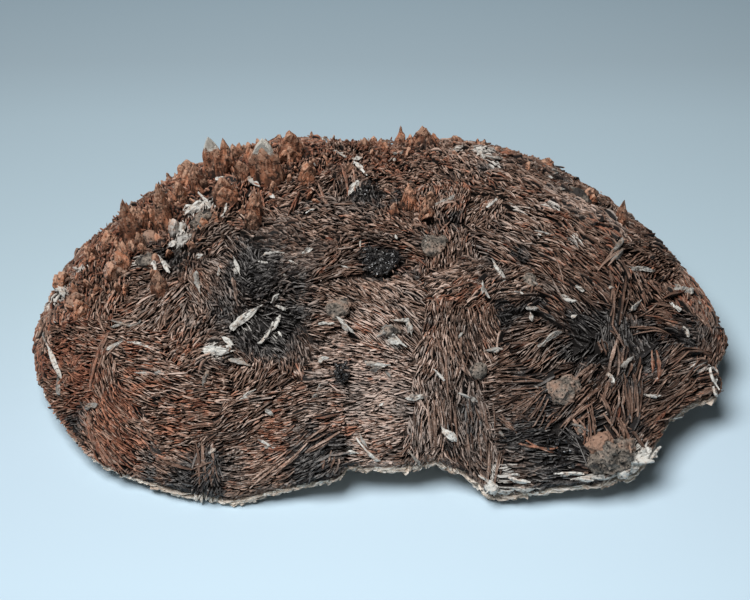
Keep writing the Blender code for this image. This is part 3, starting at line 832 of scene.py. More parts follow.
def makeStone():
    # a ball whose top is drawn out to the dome, its middle to the broken wall and the rest to the base
    deselect()
    bpy.ops.mesh.primitive_ico_sphere_add(subdivisions=stoneShape["steps"], radius=1.0)
    stone = bpy.context.object
    stone.name = "stoneBody"
    mesh = stone.data
    ball = np.empty(len(mesh.vertices) * 3)
    mesh.vertices.foreach_get("co", ball)
    ball = unit(ball.reshape(-1, 3))
    angle = np.arctan2(ball[:, 1], ball[:, 0])
    level = np.arcsin(np.clip(ball[:, 2], -1, 1))
    foot, top, widest = slab["footLevel"], slab["topLevel"], slab["spread"]
    reach, footHigh, wall = edgeAt(angle)
    ring = heading(angle)
    reach = reach + slab["ragged"] * (cloud(ring * 60, 5.0, 1) + 0.6 * cloud(ring * 60, 1.6, 2)) - 0.6
    onDome, onWall = level > top, (level <= top) & (level > foot)
    domeShare = np.sin(widest * (math.pi / 2 - level) / (math.pi / 2 - top)) / math.sin(widest)
    underShare = np.cos(level) / math.cos(foot)
    climb = np.clip((level - foot) / (top - foot), 0, 1)
    share = np.where(onDome, domeShare, np.where(onWall, 1.0, underShare))
    rise = underRise(underShare)
    inset = np.where(onDome, 0, slab["inset"] * np.where(onWall, 1 - climb, rise))
    x, y = fromCrown(reach * share * (1 - inset), angle)
    nearest, far, _, _ = bundleAt(x, y)
    domeHigh = topHeight(x, y) + liftAt(x, y, nearest, far)
    z = np.where(onDome, domeHigh, np.where(onWall, footHigh + wall * climb, footHigh * rise))
    points = np.stack([x, y, z], -1)
    rough = sum(height * cloud(points, size, 10 + i) for i, (size, height) in enumerate(stoneShape["lumps"]))
    edgeOn = onWall + (~onWall) * rise
    points -= np.where(onDome[:, None], outOf(x, y), ring * edgeOn[:, None]) * stoneShape["sunk"]
    calm = np.where(onDome, 1 - 0.5 * share**6, np.where(onWall, 0.7, np.clip(z / 1.5, 0, 1)))
    points += ball * (rough * calm)[:, None]
    # the wall is splintered upright
    splinter = cloud(np.stack([np.cos(angle) * 90, np.sin(angle) * 90, points[:, 2] * 0.25], -1), 1.3, 21)
    cut = stoneShape["wallCut"] * splinter * np.where(onDome, np.clip(share * 12 - 11, 0, 1), edgeOn)
    points -= ring * np.maximum(cut, -0.3)[:, None]
    points[:, 2] = np.where((~onDome) & (z < 0.02), 0.0, np.maximum(points[:, 2], 0.25))
    mesh.vertices.foreach_set("co", (points * mm).ravel())
    x, y = points[:, 0], points[:, 1]
    broken = np.where(onDome, 0.0, np.where(onWall, np.clip(3.0 - climb * 6, 0, 1), 1.0))
    writeValues(mesh, {"broken": broken, "tint": tintAt(x, y), "frost": frostAt(x, y)})
    mesh.update()
    mesh.materials.append(stoneGround)
    bpy.ops.object.shade_smooth()
    finishPiece(stone)
    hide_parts("barite_stone")


makeStone()


def rowsOver(spec, rng):
    # blade centres in rows along every bundle, kept where the bundle is the nearest one
    found = []
    for i in range(len(bundles["x"])):
        x0, y0 = bundles["x"][i:i + 1], bundles["y"][i:i + 1]
        along, across, _ = standing(x0, y0, bundles["turn"][i:i + 1], np.zeros(1), np.zeros(1))
        half = bundles["reach"][i] * 2.3
        pitch = spec["pitch"] * (1 + 0.35 * bundles["open"][i])
        for side in np.arange(-half, half, pitch):
            lengths = rng.uniform(*spec["length"], 40) * (1 + 0.7 * bundles["open"][i])
            stops = np.cumsum(lengths * spec["overlap"]) - half - rng.uniform(0, spec["length"][1])
            keep = stops < half
            u = stops[keep]
            v = side + rng.normal(0, pitch * 0.14, len(u))
            x = x0 + u * along[0, 0] + v * across[0, 0]
            y = y0 + u * along[0, 1] + v * across[0, 1]
            found.append(np.stack([x, y, lengths[keep], np.full(len(u), i)], -1))
    x, y, length, owner = np.concatenate(found).T
    nearest, far, u, v = bundleAt(x, y)
    inside = (nearest == owner) & (shareAt(x, y) < spec["edge"])
    return x[inside], y[inside], length[inside], nearest[inside], far[inside], u[inside], v[inside]


def ringOver(spec, rng):
    # blade centres over the steep slope next to the edge, where rows are too thin
    angle = rng.uniform(-math.pi, math.pi, spec["count"])
    share = 1 - rng.uniform(0, 1, spec["count"]) ** 1.4 * spec["band"]
    x, y = fromCrown(edgeAt(angle)[0] * share, angle)
    length = rng.uniform(*spec["length"], spec["count"])
    return (x, y, length, *bundleAt(x, y))


def bareAt(x, y):  # where hardly any blade grows
    spots = [(-1, -12, 5.2, 1.0), (-11, -45, 2.2, 1.0), (47, -62, 6.0, 0.6), (57, -60, 4.0, 0.5),
             (51, -50, 4.0, 1.0), (64, -62, 5.6, 1.0), (-12, -29, 3.2, 1.0), (27, -46, 2.0, 0.9),
             (15, -9, 3.0, 0.9), (-35, -30, 5.0, 0.4), (60, -33, 3.5, 0.4), (-12, -7, 3.0, 0.8)]
    return spotsAt(spots, x, y)


def keepOffFloor(points):
    points[..., 2] = np.maximum(points[..., 2], slab["clearance"])


def cutAtRim(points, over):
    # no point reaches further over the edge than this, nor down to the floor
    dx, dy = points[..., 0] - crownX, points[..., 1] - crownY
    out = np.maximum(np.hypot(dx, dy), 1.0)
    most = edgeAt(np.arctan2(dy, dx))[0] + over
    back = np.minimum(1.0, most / out)
    points[..., 0] = crownX + dx * back
    points[..., 1] = crownY + dy * back
    keepOffFloor(points)


def thinOut(spec, centres, rng):
    # blades are left out here and there, and more of them where the stone is bare or rubbly
    x, y, _, nearest, _, _, _ = centres
    sparse = np.maximum(bareAt(x, y), 0.75 * crumbleAt(x, y)) * spec["bare"]
    holes = np.clip(flatCloud(x, y, 3.0, 46) - 0.45 + 0.3 * bundles["open"][nearest], 0, 1)
    keep = rng.uniform(0, 1, len(x)) > sparse + spec["gaps"] + 0.6 * holes
    return [each[keep] for each in centres]


def bladePoints(spec, form, length, wide, rng):
    # the points of every blade in its own directions, uneven in thickness and chipped along the crest
    count = len(length)
    stations, at = perStation(form)
    ends = np.abs(form[:, 0]) > 0.45
    high = form[:, 2] > 0
    thick = rng.uniform(*spec["thick"], count) * (1 + 0.15 * wide)
    fat = rng.uniform(0.5, 1.3, (count, stations))[:, at]
    fat = fat * np.where(ends, rng.uniform(0.3, 0.7, (count, 1)), 1.0)
    wobble = rng.normal(0, spec["wobble"], (count, stations))[:, at]
    bow = rng.normal(0, spec["bow"], (count, 1)) * (1 - 4 * form[:, 0] ** 2)
    chip = rng.normal(0, spec["chip"], (count, len(form)))
    chip = chip - np.where(ends, rng.uniform(0.1, 1.1, (count, 1)), 0)
    slant = np.where(high & ends, rng.normal(0, 0.25, (count, len(form))), 0)
    return np.stack([form[:, 0] * length[:, None] + slant,
                     form[:, 1] * thick[:, None] * fat + bow + wobble,
                     np.where(high, chip, -spec["depth"])], -1)


def growBlades(spec, centres):
    rng = np.random.default_rng(spec["seed"])
    x, y, length, nearest, far, u, v = thinOut(spec, centres, rng)
    count = len(x)
    reach, wide = bundles["reach"][nearest], bundles["open"][nearest]
    tuft = tuftAt(u * reach + nearest * 23.1, v * reach + nearest * 9.7)  # each bundle has its own tufts
    messy = spotsAt(tufts["messy"], x, y)
    turn = bundles["turn"][nearest] + bundles["fan"][nearest] * v + bundles["curl"][nearest] * u
    turn = turn + np.radians(rng.normal(0, spec["stray"], count) * (1 + messy))
    turn = turn + np.radians(tufts["turn"] + (tufts["mess"] - tufts["turn"]) * messy) * tuft[:, 0]
    sway, nod = rng.normal(0, spec["sway"], count), rng.normal(0, spec["nod"], count)
    lean = bundles["lean"][nearest] + np.radians(sway + tufts["lean"] * tuft[:, 1])
    dip = bundles["dip"][nearest] + np.radians(nod + tufts["dip"] * tuft[:, 2])
    along, across, up = standing(x, y, turn, lean, dip)
    lift = liftAt(x, y, nearest, far) + rng.normal(0, spec["uneven"], count) + spec["proud"]
    lift = lift + tufts["lift"] * tuft[:, 3] * (1 + messy)
    crest = onTop(x, y) + outOf(x, y) * lift[:, None]
    form, corners = bladeForm(spec["cuts"])
    local = bladePoints(spec, form, length * (1 - tufts["shorten"] * messy), wide, rng)
    points = placed(crest, local, along, across, up)
    cutAtRim(points, 0.6)
    stations, at = perStation(form)
    shade = rng.beta(1.5, 1.6, count) + bundles["tone"][nearest] + spec["tone"] + tufts["tone"] * tuft[:, 4]
    # blades darker towards their bundle's edge as painted shade, and lighter or darker at random
    shade = shade - 0.16 * np.clip(far - 0.7, 0, 1) + 0.12 * flatCloud(x, y, 5.0, 47)
    shade = 0.5 + (shade - 0.5) * (1 + spotsAt(tints["crisp"], x, y))
    shade = np.clip(shade[:, None] + rng.normal(0, 0.16, (count, stations))[:, at], 0, 1)
    values = groundValues(x, y, len(form))
    values["tint"][..., 0] += spread(tufts["rust"] * tuft[:, 5] + rng.normal(0, 0.24, count), len(form))
    # painted shade where bundles meet, carried in the soot channel
    seamShade = 0.7 * np.clip(far * 1.4 - 1.15, 0, 1) * (flatCloud(x, y, 9.0, 48) > -0.1)  # dark between bundles
    values["tint"][..., 1] = np.maximum(values["tint"][..., 1], seamShade[:, None])
    values["rise"] = np.tile((form[:, 2] > 0).astype(float), (count, 1))
    values["shade"] = shade
    return x, points, corners, values


def sowInPieces(names, spec, centres, material):
    # the blades split by place from left to right, so that no piece grows too heavy
    x, points, corners, values = growBlades(spec, centres)
    order = np.argsort(x)
    for name, part in zip(names, np.array_split(order, len(names))):
        joined(name, points[part], corners, {key: value[part] for key, value in values.items()}, material)


fineBlades = {
    "cuts": 2, "length": (1.5, 4.0), "thick": (0.19, 0.37), "depth": 2.0,
    "pitch": 0.40, "overlap": 0.82, "edge": 0.998,  # between rows, between blades of a row, and how far out
    "bare": 0.95, "gaps": 0.03,  # the share left out where the stone is bare, and everywhere
    "stray": 3.5, "sway": 4.0, "nod": 2.5,  # degrees of turn, lean and dip
    "proud": 0.35, "uneven": 0.1, "bow": 0.06, "wobble": 0.05, "chip": 0.16, "tone": 0.07, "seed": 3,
}
sowInPieces(["bladesLeft", "bladesMidLeft", "bladesMidRight", "bladesRight"], fineBlades,
            rowsOver(fineBlades, np.random.default_rng(7)), brownBlades)

strayBlades = dict(fineBlades, pitch=2.2, length=(3.0, 6.5), overlap=1.4, seed=5, gaps=0.2, stray=14.0,
                   sway=16.0, nod=7.0, uneven=0.3, proud=0.7, depth=2.4, thick=(0.26, 0.6), bow=0.2,
                   chip=0.18, tone=0.08)
sowInPieces(["strayBlades"], strayBlades, rowsOver(strayBlades, np.random.default_rng(11)), brownBlades)

edgeBlades = dict(fineBlades, count=2900, band=0.11, length=(2.0, 4.6), seed=6, stray=8.0, sway=10.0,
                  nod=7.0, uneven=0.2, proud=0.2, thick=(0.26, 0.46))
sowInPieces(["edgeBlades"], edgeBlades, ringOver(edgeBlades, np.random.default_rng(13)), brownBlades)


boldBlades = {
    # from across, back, to across, back, thickness, shade, rust
    "listed": [
        (65.4, -8.7, 65.3, -27, 0.87, 0.45, 0), (70.1, -8.3, 67.3, -26.7, 0.87, 0.45, 0),
        (65.3, -27, 68.7, -33.2, 0.87, 0.5, 0), (67.2, -29.4, 63.5, -43.4, 1.45, 0.62, 0),
        (68.8, -31.9, 67.4, -39, 0.87, 0.45, 0), (62, -31.1, 63.2, -36.1, 0.72, 0.4, 0),
        (74.8, -18, 85.5, -18.3, 1.16, 0.5, 0.3), (75.2, -21.6, 87.9, -18.6, 0.87, 0.55, 0.6),
        (70.1, -26.7, 82.5, -25.5, 0.72, 0.4, 0.2), (77.3, -15.7, 85.8, -13.3, 0.72, 0.5, 0),
        (79.9, -13.3, 89.2, -3.1, 0.87, 0.4, 0), (78, -31.3, 78, -39.6, 1.3, 0.6, 0.7),
        (73.3, -34.3, 69.4, -45.4, 0.87, 0.5, 0.2), (80.6, -38.3, 76.9, -44.4, 0.87, 0.55, 0.2),
        (59.9, -41, 56.7, -48.4, 0.87, 0.55, 0), (64, -38.9, 61.3, -47.3, 0.87, 0.45, 0),
        (90.8, -11.7, 95.6, -16.3, 0.87, 0.5, 0.3), (81.9, -34.8, 92.3, -24.5, 0.72, 0.4, 0.3),
        (84.1, -38.4, 94.5, -27.1, 0.72, 0.4, 0.3), (61.9, -10.1, 70.6, 3.1, 1.3, 0.65, 0),
        (87.8, -27.1, 95.5, -22.8, 0.72, 0.35, 0.3), (70.5, -54, 84, -41, 0.87, 0.5, 0.3),
        (71.5, -54.5, 81, -44.5, 0.72, 0.4, 0.2), (76, -52, 81.5, -44, 0.87, 0.4, 0.7),
        (73, -51, 80, -43.5, 0.72, 0.5, 0.2), (74.5, -48, 88, -37.5, 0.72, 0.5, 0.2),
        (79.5, -44, 89.5, -35.8, 0.72, 0.45, 0.2), (61.6, -54.7, 66.5, -59.6, 1.16, 0.45, 0.2),
        (66.1, -54.6, 69.3, -60.7, 1.3, 0.5, 0.4), (68.4, -56, 74.5, -60.5, 0.72, 0.35, 0),
        (52.8, -55.9, 56.6, -60.2, 1.45, 0.75, 0.3), (56.7, -53, 57.7, -63.1, 0.72, 0.4, 0),
        (58.3, -51.7, 59.4, -61, 0.72, 0.4, 0), (60.6, -50.2, 63.8, -55.3, 0.87, 0.45, 0),
        (64.3, -43.7, 60.6, -52.4, 0.87, 0.45, 0), (68.1, -41.7, 69.6, -54.4, 0.72, 0.4, 0),
        (70.8, -39.6, 71.3, -52.8, 0.72, 0.45, 0), (73, -40.9, 72, -50.5, 0.72, 0.4, 0),
        (53.7, -47.6, 59.3, -41.1, 1.16, 0.65, 0.2), (45.6, -49.4, 32.9, -52.9, 0.72, 0.55, 0),
        (45.6, -49.8, 34.5, -55.1, 0.72, 0.5, 0), (45.6, -50.3, 36.2, -56.6, 0.72, 0.55, 0),
        (45.6, -51, 38.9, -57.5, 0.72, 0.5, 0), (46.2, -51.9, 41.7, -57.4, 0.72, 0.5, 0.2),
        (45.4, -48.9, 32.3, -50.1, 0.72, 0.5, 0), (45.4, -48.4, 32.9, -48.3, 0.72, 0.45, 0),
        (26.2, -50.7, 28.4, -56, 0.72, 0.55, 0), (28.5, -51.2, 30.1, -58.3, 0.72, 0.5, 0),
        (30.7, -50.8, 31.7, -58.8, 0.72, 0.55, 0), (24.6, -50.6, 25.7, -56.2, 0.72, 0.5, 0),
        (32, -55.5, 37.3, -58.6, 0.72, 0.5, 0), (32.9, -55, 37.8, -59, 0.72, 0.45, 0),
        (37.3, -60.6, 48.9, -61.4, 1.16, 0.75, 0.7), (61, -40.6, 55.1, -48.6, 1.01, 0.5, 0.2),
        (60.1, -49, 52.8, -55, 0.87, 0.45, 0), (60, -51.7, 51.6, -57, 0.87, 0.45, 0),
        (57.8, -53, 49.4, -57.7, 0.87, 0.45, 0), (56.4, -49.7, 48.3, -55.6, 0.87, 0.45, 0),
        (62.5, -46.2, 55, -53.8, 0.87, 0.45, 0), (49.4, -55.4, 45.3, -57.7, 0.87, 0.4, 0.3),
        (-77.1, -24.3, -79.7, -31.4, 1.16, 0.55, 0.7), (-78.7, -26.3, -82.3, -39.6, 1.45, 0.5, 0.7),
        (-55.4, -54.2, -46.2, -53.4, 1.16, 0.6, 0.5), (-56, -55.9, -46.4, -56, 0.87, 0.5, 0.4),
        (-49.8, -58.7, -48.7, -66.6, 1.74, 0.55, 0.1), (-51.5, -59, -50.1, -66.4, 0.87, 0.45, 0),
        (-48.1, -63.3, -46.9, -66.9, 0.87, 0.5, 0.2), (-82.7, -44.4, -81.3, -51.2, 1.16, 0.5, 0.6),
        (-80.1, -51.7, -75.1, -58.4, 1.45, 0.6, 0.7), (-82.6, -48.4, -78.4, -55.7, 1.16, 0.55, 0.5),
        (17.7, -40, 18.5, -51.3, 0.72, 0.5, 0), (16.3, -50.7, 18, -58.9, 0.72, 0.5, 0),
        (22.5, -36.6, 23, -45, 0.72, 0.5, 0.1), (13, -51.3, 14.1, -60.7, 0.87, 0.55, 0),
        (14.6, -52.2, 15.2, -60.9, 0.72, 0.45, 0), (19.6, -51.8, 21.3, -60.1, 0.72, 0.55, 0),
        (23.5, -55.8, 24.7, -63.4, 0.87, 0.55, 0), (26.8, -58.1, 28, -63.9, 0.72, 0.55, 0),
        (30.1, -60.1, 29.7, -66.5, 0.72, 0.55, 0), (32.9, -62, 31.3, -67.8, 0.87, 0.6, 0),
        (-18.3, 17.8, -14.7, 7.7, 1.16, 0.5, 0.5), (-12, 26.7, -9.5, 13, 1.16, 0.5, 0.5),
        (-23.5, 14.6, -26.8, 6, 0.87, 0.5, 0.6), (-38.1, 18.4, -33.7, 7.3, 1.16, 0.6, 0.7),
        (-59.9, -19.5, -62.4, -28.7, 0.87, 0.5, 0.2), (-42.2, -15.9, -40.3, -24.8, 0.87, 0.5, 0),
        (-81.5, -14.9, -78.8, -24.6, 0.87, 0.45, 0.3), (-88.7, -18, -81.1, -26.8, 0.87, 0.45, 0.3),
        (-22.5, -59.4, -14.2, -57, 0.87, 0.6, 0.1), (-21.2, -61.7, -10.1, -57.6, 0.87, 0.6, 0.1),
        (-29.5, -64.6, -19.8, -59.6, 0.87, 0.6, 0.1), (-33.1, -66.4, -22.5, -61.6, 0.87, 0.65, 0.1),
        (-36.5, -67.3, -26.7, -62.9, 0.87, 0.65, 0.1), (-14.2, -64.8, -12.6, -62, 0.87, 0.55, 0),
        (-16.5, -65, -15.6, -62.5, 0.87, 0.5, 0), (-53.2, -63.8, -46.2, -62.9, 0.72, 0.45, 0),
        (-64.5, -58.1, -56, -62, 0.72, 0.4, 0), (-60.2, -61.2, -51.5, -64, 0.72, 0.4, 0),
    ],
    "strands": 3, "lift": 0.8, "depth": 2.4, "bow": 0.3, "cuts": 6, "seed": 19,
    # middles of little wheels of blades: across, back, reach, how many, rust
    "wheels": [(-12, -7, 3.8, 22, 0.1), (-88, -32, 4.2, 15, 0.8), (43, -20, 3.0, 14, 0.1),
               (20, 9, 3.5, 12, 0.2)],
}


def boldRows(rng):
    # each listed blade is a thick strand with thinner ones beside it, and a wheel is a ring of short ones
    rows = []
    for x0, y0, x1, y1, thick, shade, rust in boldBlades["listed"]:
        far = math.hypot(x1 - x0, y1 - y0)
        acrossX, acrossY = -(y1 - y0) / far, (x1 - x0) / far
        for strand in range(boldBlades["strands"]):
            main = strand == 0
            aside = 0.0 if main else rng.normal(0, thick * 0.9)
            ends = (0.0, 0.0) if main else rng.uniform(0, 0.3, 2)
            swing = rng.normal(0, 0.05, 2) * far * (not main)
            rows.append((x0 + (x1 - x0) * ends[0] + acrossX * (aside + swing[0]),
                         y0 + (y1 - y0) * ends[0] + acrossY * (aside + swing[0]),
                         x1 - (x1 - x0) * ends[1] + acrossX * (aside + swing[1]),
                         y1 - (y1 - y0) * ends[1] + acrossY * (aside + swing[1]),
                         thick * (0.62 if main else 0.4), np.clip(shade + rng.normal(0, 0.12), 0, 1), rust))
    for x0, y0, reach, number, rust in boldBlades["wheels"]:
        for angle in np.arange(number) * math.tau / number + rng.normal(0, 0.12, number):
            near, out = reach * rng.uniform(0.1, 0.35), reach * rng.uniform(0.75, 1.15)
            rows.append((x0 + near * math.cos(angle), y0 + near * math.sin(angle), x0 + out * math.cos(angle),
                         y0 + out * math.sin(angle), rng.uniform(0.3, 0.6), rng.uniform(0.2, 0.8), rust))
    return np.array(rows).T


def addBoldBlades():
    # long blades that stand out of the bundles one by one
    rng = np.random.default_rng(boldBlades["seed"])
    x0, y0, x1, y1, thick, shade, rust = boldRows(rng)
    count = len(x0)
    start, end = onTop(x0, y0), onTop(x1, y1)
    middle = (start + end) / 2
    along = unit(end - start)
    up = outOf(middle[:, 0], middle[:, 1])
    up = unit(up - along * np.sum(up * along, -1, keepdims=True))
    up = turned(up, along, np.radians(rng.normal(0, 16, count)))
    across = np.cross(up, along)
    form, corners = bladeForm(boldBlades["cuts"])
    stations, at = perStation(form)
    high = form[:, 2] > 0
    taper = 1 - 0.6 * np.abs(2 * form[:, 0]) ** 2.5
    length = np.linalg.norm(end - start, axis=1)
    fat = rng.uniform(0.75, 1.2, (count, stations))[:, at] * taper
    bow = rng.normal(0, boldBlades["bow"], (count, 1)) * (1 - 4 * form[:, 0] ** 2)
    wobble = rng.normal(0, 0.06, (count, stations))[:, at]
    chip = rng.normal(0, 0.14, (count, len(form))) - np.abs(2 * form[:, 0]) ** 4 * 0.8
    chip = chip + rng.normal(0, 0.25, (count, 1))
    local = np.stack([form[:, 0] * length[:, None],
                      form[:, 1] * thick[:, None] * fat + bow + wobble,
                      np.where(high, chip + boldBlades["lift"], -boldBlades["depth"])], -1)
    # the whole length of a blade follows the dome under it
    spine = middle[:, None] + local[..., :1] * along[:, None]
    points = placed(middle, local, along, across, up)
    points[..., 2] += topHeight(spine[..., 0], spine[..., 1]) - spine[..., 2]
    cutAtRim(points, 0.6)
    tint = tintAt(middle[:, 0], middle[:, 1])
    tint[:, 0] = np.maximum(tint[:, 0], rust)
    tint[:, 1] *= 0.25
    tint[:, 2] = np.maximum(tint[:, 2], 0)
    values = {"rise": np.tile(high.astype(float), (count, 1)),
              "shade": np.clip(shade[:, None] * 0.85 + rng.normal(0, 0.12, (count, stations))[:, at], 0, 1),
              "tint": spread(tint, len(form)),
              "frost": np.zeros((count, len(form)))}
    joined("boldBlades", points, corners, values, brownBlades)


addBoldBlades()


def leafForm(cuts):
    # a six-sided plate standing on a corner, cut fine enough to be roughened
    deselect()
    bpy.ops.mesh.primitive_cylinder_add(vertices=6, radius=1.0, depth=1.0, end_fill_type="TRIFAN",
                                        rotation=(math.pi / 2, 0, 0))
    form = bpy.context.object
    bpy.ops.object.transform_apply(location=True, rotation=True, scale=True)
    bpy.ops.object.mode_set(mode="EDIT")
    bpy.ops.mesh.select_all(action="SELECT")
    bpy.ops.mesh.subdivide(number_cuts=cuts)
    bpy.ops.object.mode_set(mode="OBJECT")
    return readForm(form)


crystals = {
    # across, back, width, height, thickness, turn, lean, and 1 for a white tip
    "listed": [
        (-72.4, 9.2, 6.6, 18, 3.2, 10, 0, 0), (-63.4, 11.6, 6.8, 16.1, 3.2, -5, 0, 0),
        (-66.8, 16.4, 3, 6, 1.8, 20, 5, 0), (-53.4, 24.3, 6.4, 9.7, 3.2, -15, 0, 0),
        (-48.5, 29.8, 6.6, 14.2, 3.8, 5, 0, 1), (-45, 30.6, 5, 10.8, 3, 10, 0, 0),
        (-33, 21.3, 10.5, 16.1, 4.2, -5, 0, 1), (-27, 31.8, 9, 9.9, 4, 5, 5, 0),
        (-45, 15.3, 8.5, 9.1, 5, 10, 5, 0), (-36.4, 6.2, 4.5, 10.5, 2.8, -35, -2, 0),
        (-36.8, 3.5, 5.2, 7, 3.2, -10, 5, 0), (-69.5, 3.7, 4.5, 7, 3, 10, 0, 0),
        (-74.3, -1.6, 5.6, 9.1, 3.2, -10, 0, 0), (-62.8, -16.1, 6, 9.4, 3.2, 5, 5, 0),
        (-77.7, -2.8, 6.6, 6, 4, 30, 10, 0), (-69.4, 15.3, 4, 7, 2.4, 40, 0, 0),
        (-58.8, 20.8, 4.5, 8.6, 2.8, 25, 0, 0), (-40.4, 23.6, 4.6, 7.8, 2.8, -25, 0, 0),
        (-59.6, 6.4, 4.2, 5.9, 2.6, 40, 0, 0), (-73.5, 21, 6, 6, 2.6, 10, 0, 0),
        (-65, 25, 5, 5.5, 2.6, 5, 0, 0), (-43, 38, 5, 5.5, 2.8, 10, 0, 0), (-38.5, 34, 5, 6, 2.8, 25, 0, 0),
        (-21.5, 20, 5.6, 7, 3, 15, 5, 0), (-94, 7, 6, 5.5, 2.8, 60, 5, 0), (-85, 9, 6, 6.5, 2.8, 40, 5, 0),
        (-80, 14, 5, 5, 2.6, 30, 5, 0), (-86, -15, 6, 6, 2.8, 35, 5, 0), (-57, 31, 5.5, 5.5, 2.8, 30, 5, 0),
        (6, 47, 3.4, 6.5, 2.4, 10, 0, 0), (13, 42.5, 9, 7.5, 4.2, 0, 0, 0), (-5, 39, 5, 3.6, 2.8, -10, 0, 0),
        (8, 7, 5.2, 7.5, 3, 20, 5, 0), (13, 3, 5, 6.5, 3.2, -20, 5, 0), (70.5, 18, 3.4, 9.5, 2.4, -25, 0, 0),
        (62, 26, 5, 4.5, 3, 20, 5, 0), (-31, 52, 7, 4, 3, 160, 10, 0), (-58, 47, 7, 5, 3, 130, 10, 0),
        (22, 54, 6, 3, 3, 200, 10, 0), (50, 46, 6, 3, 3, 150, 10, 0),
    ],
    "leaves": 3,
    # where lesser crystals crowd round the listed ones: across, back, reach
    "homes": [(-75, 14, 17), (-52, 32, 17), (-30, 32, 14), (-84, -2, 12), (-40, 16, 13), (-60, 18, 15),
              (-30, 50, 22), (-64, 44, 16), (8, 36, 12), (13, 8, 8), (-70, -8, 12), (-20, 20, 12),
              (30, 48, 18), (-92, -10, 9)],
    "crowding": 0.75,
    "seed": 23,
    # how a crystal is shaped: see roughLeaves
    "book": {"cuts": 4, "lying": False, "skew": 0.12, "curl": 0.03, "bend": 0.0, "pull": 0.0, "thin": 0.45,
             "ridge": 0.6, "stripes": 0.35, "whiteFrom": 0.8},
}


def alongLeafForm(cuts):
    # the same plate with its corners at its two ends, pointed like a kite
    form, corners = leafForm(cuts)
    form = form[:, [2, 1, 0]]
    form[:, 2] *= 1.05 - 0.85 * np.abs(form[:, 0]) ** 1.3
    return form, corners[:, ::-1]


def ridged(points, size, seed):  # sharp-edged bumps and dents
    return 1 - 2.4 * np.abs(cloud(points, size, seed))


def leafOutline(form, tip, rng):
    # what turns a plate's gable into the outline of a leaf, blunt or sharp
    above = np.clip(form[:, 2], 0, 0.985)
    gable = np.where(above < 0.5, 0.866, 1.732 * (1 - above))
    shoulder = np.where(tip > 0, 0.5, rng.uniform(0.05, 0.45, len(tip)))[:, None]
    outline = np.minimum(0.9, 0.9 * ((1 - above) / (1 - shoulder)) ** 0.8)
    return np.where(form[:, 2] > 0, np.clip(outline / gable, 0, 1.7), 1.0)


def roughLeaves(name, rows, rough, material, seed, spec):
    # rows of: across, back, width, height, thickness, turn, lean, upright, tip, lift, tone
    rng = np.random.default_rng(seed)
    form, corners = alongLeafForm(spec["cuts"]) if spec["lying"] else leafForm(spec["cuts"])
    x, y, width, height, thick, turn, lean, upright, tip, lift, tone = np.array(rows, float).T
    count = len(x)
    along, _, up = standing(x, y, np.radians(turn), np.zeros(count), np.zeros(count))
    up = unit(up * (1 - upright)[:, None] + np.array([0, 0, 1.0]) * upright[:, None])
    along = unit(along - up * np.sum(along * up, -1, keepdims=True))
    across = np.cross(up, along)
    up, across = turned(up, along, np.radians(lean)), turned(across, along, np.radians(lean))
    base = onTop(x, y) + outOf(x, y) * lift[:, None]
    narrow = 1.0 if spec["lying"] else leafOutline(form, tip, rng)
    columns, column = np.unique(form[:, 0].round(2), return_inverse=True)
    skew = rng.normal(0, spec["skew"], (count, 1)) * form[:, 2]
    curl = rng.normal(0, spec["curl"], (count, 1)) * (form[:, 0] ** 2 - 0.3)
    bend = rng.normal(0, spec["bend"], (count, 1)) * (form[:, 0] ** 2 - 0.3) * width[:, None]
    pull = rng.normal(0, spec["pull"], (count, 1)) * (1 - form[:, 0] ** 2)
    flank = (1 - spec["thin"] * np.clip(form[:, 2], 0, 1)) * (1 - spec["ridge"] * np.abs(form[:, 0]))
    local = np.stack([(form[:, 0] * narrow + skew + pull) * (width / 2)[:, None],
                      form[:, 1] * flank * thick[:, None] + curl * width[:, None],
                      form[:, 2] * height[:, None] + bend], -1)
    points = placed(base, local, along, across, up)
    outward = unit(form / np.array([1.0, 0.5, 1.0]) + 1e-6)
    outward = placed(np.zeros((count, 3)), outward, along, across, up)
    flat = points.reshape(-1, 3) + np.repeat(np.arange(count) * 13.7, len(form))[:, None]
    bumps = sum(amount * ridged(flat, size, 60 + i) for i, (size, amount) in enumerate(rough))
    points = points + outward * bumps.reshape(count, len(form), 1)
    keepOffFloor(points)
    rise = form[:, 2] * 0.5 + 0.5
    values = groundValues(x, y, len(form))
    values["rise"] = np.tile(np.ones(len(form)) if spec["lying"] else rise, (count, 1))
    values["shade"] = tone[:, None] + rng.normal(0, spec["stripes"], (count, len(columns)))[:, column]
    values["chalk"] = tip[:, None] * np.clip((rise - spec["whiteFrom"]) * 8, 0, 1)[None]
    joined(name, points, corners, values, material)


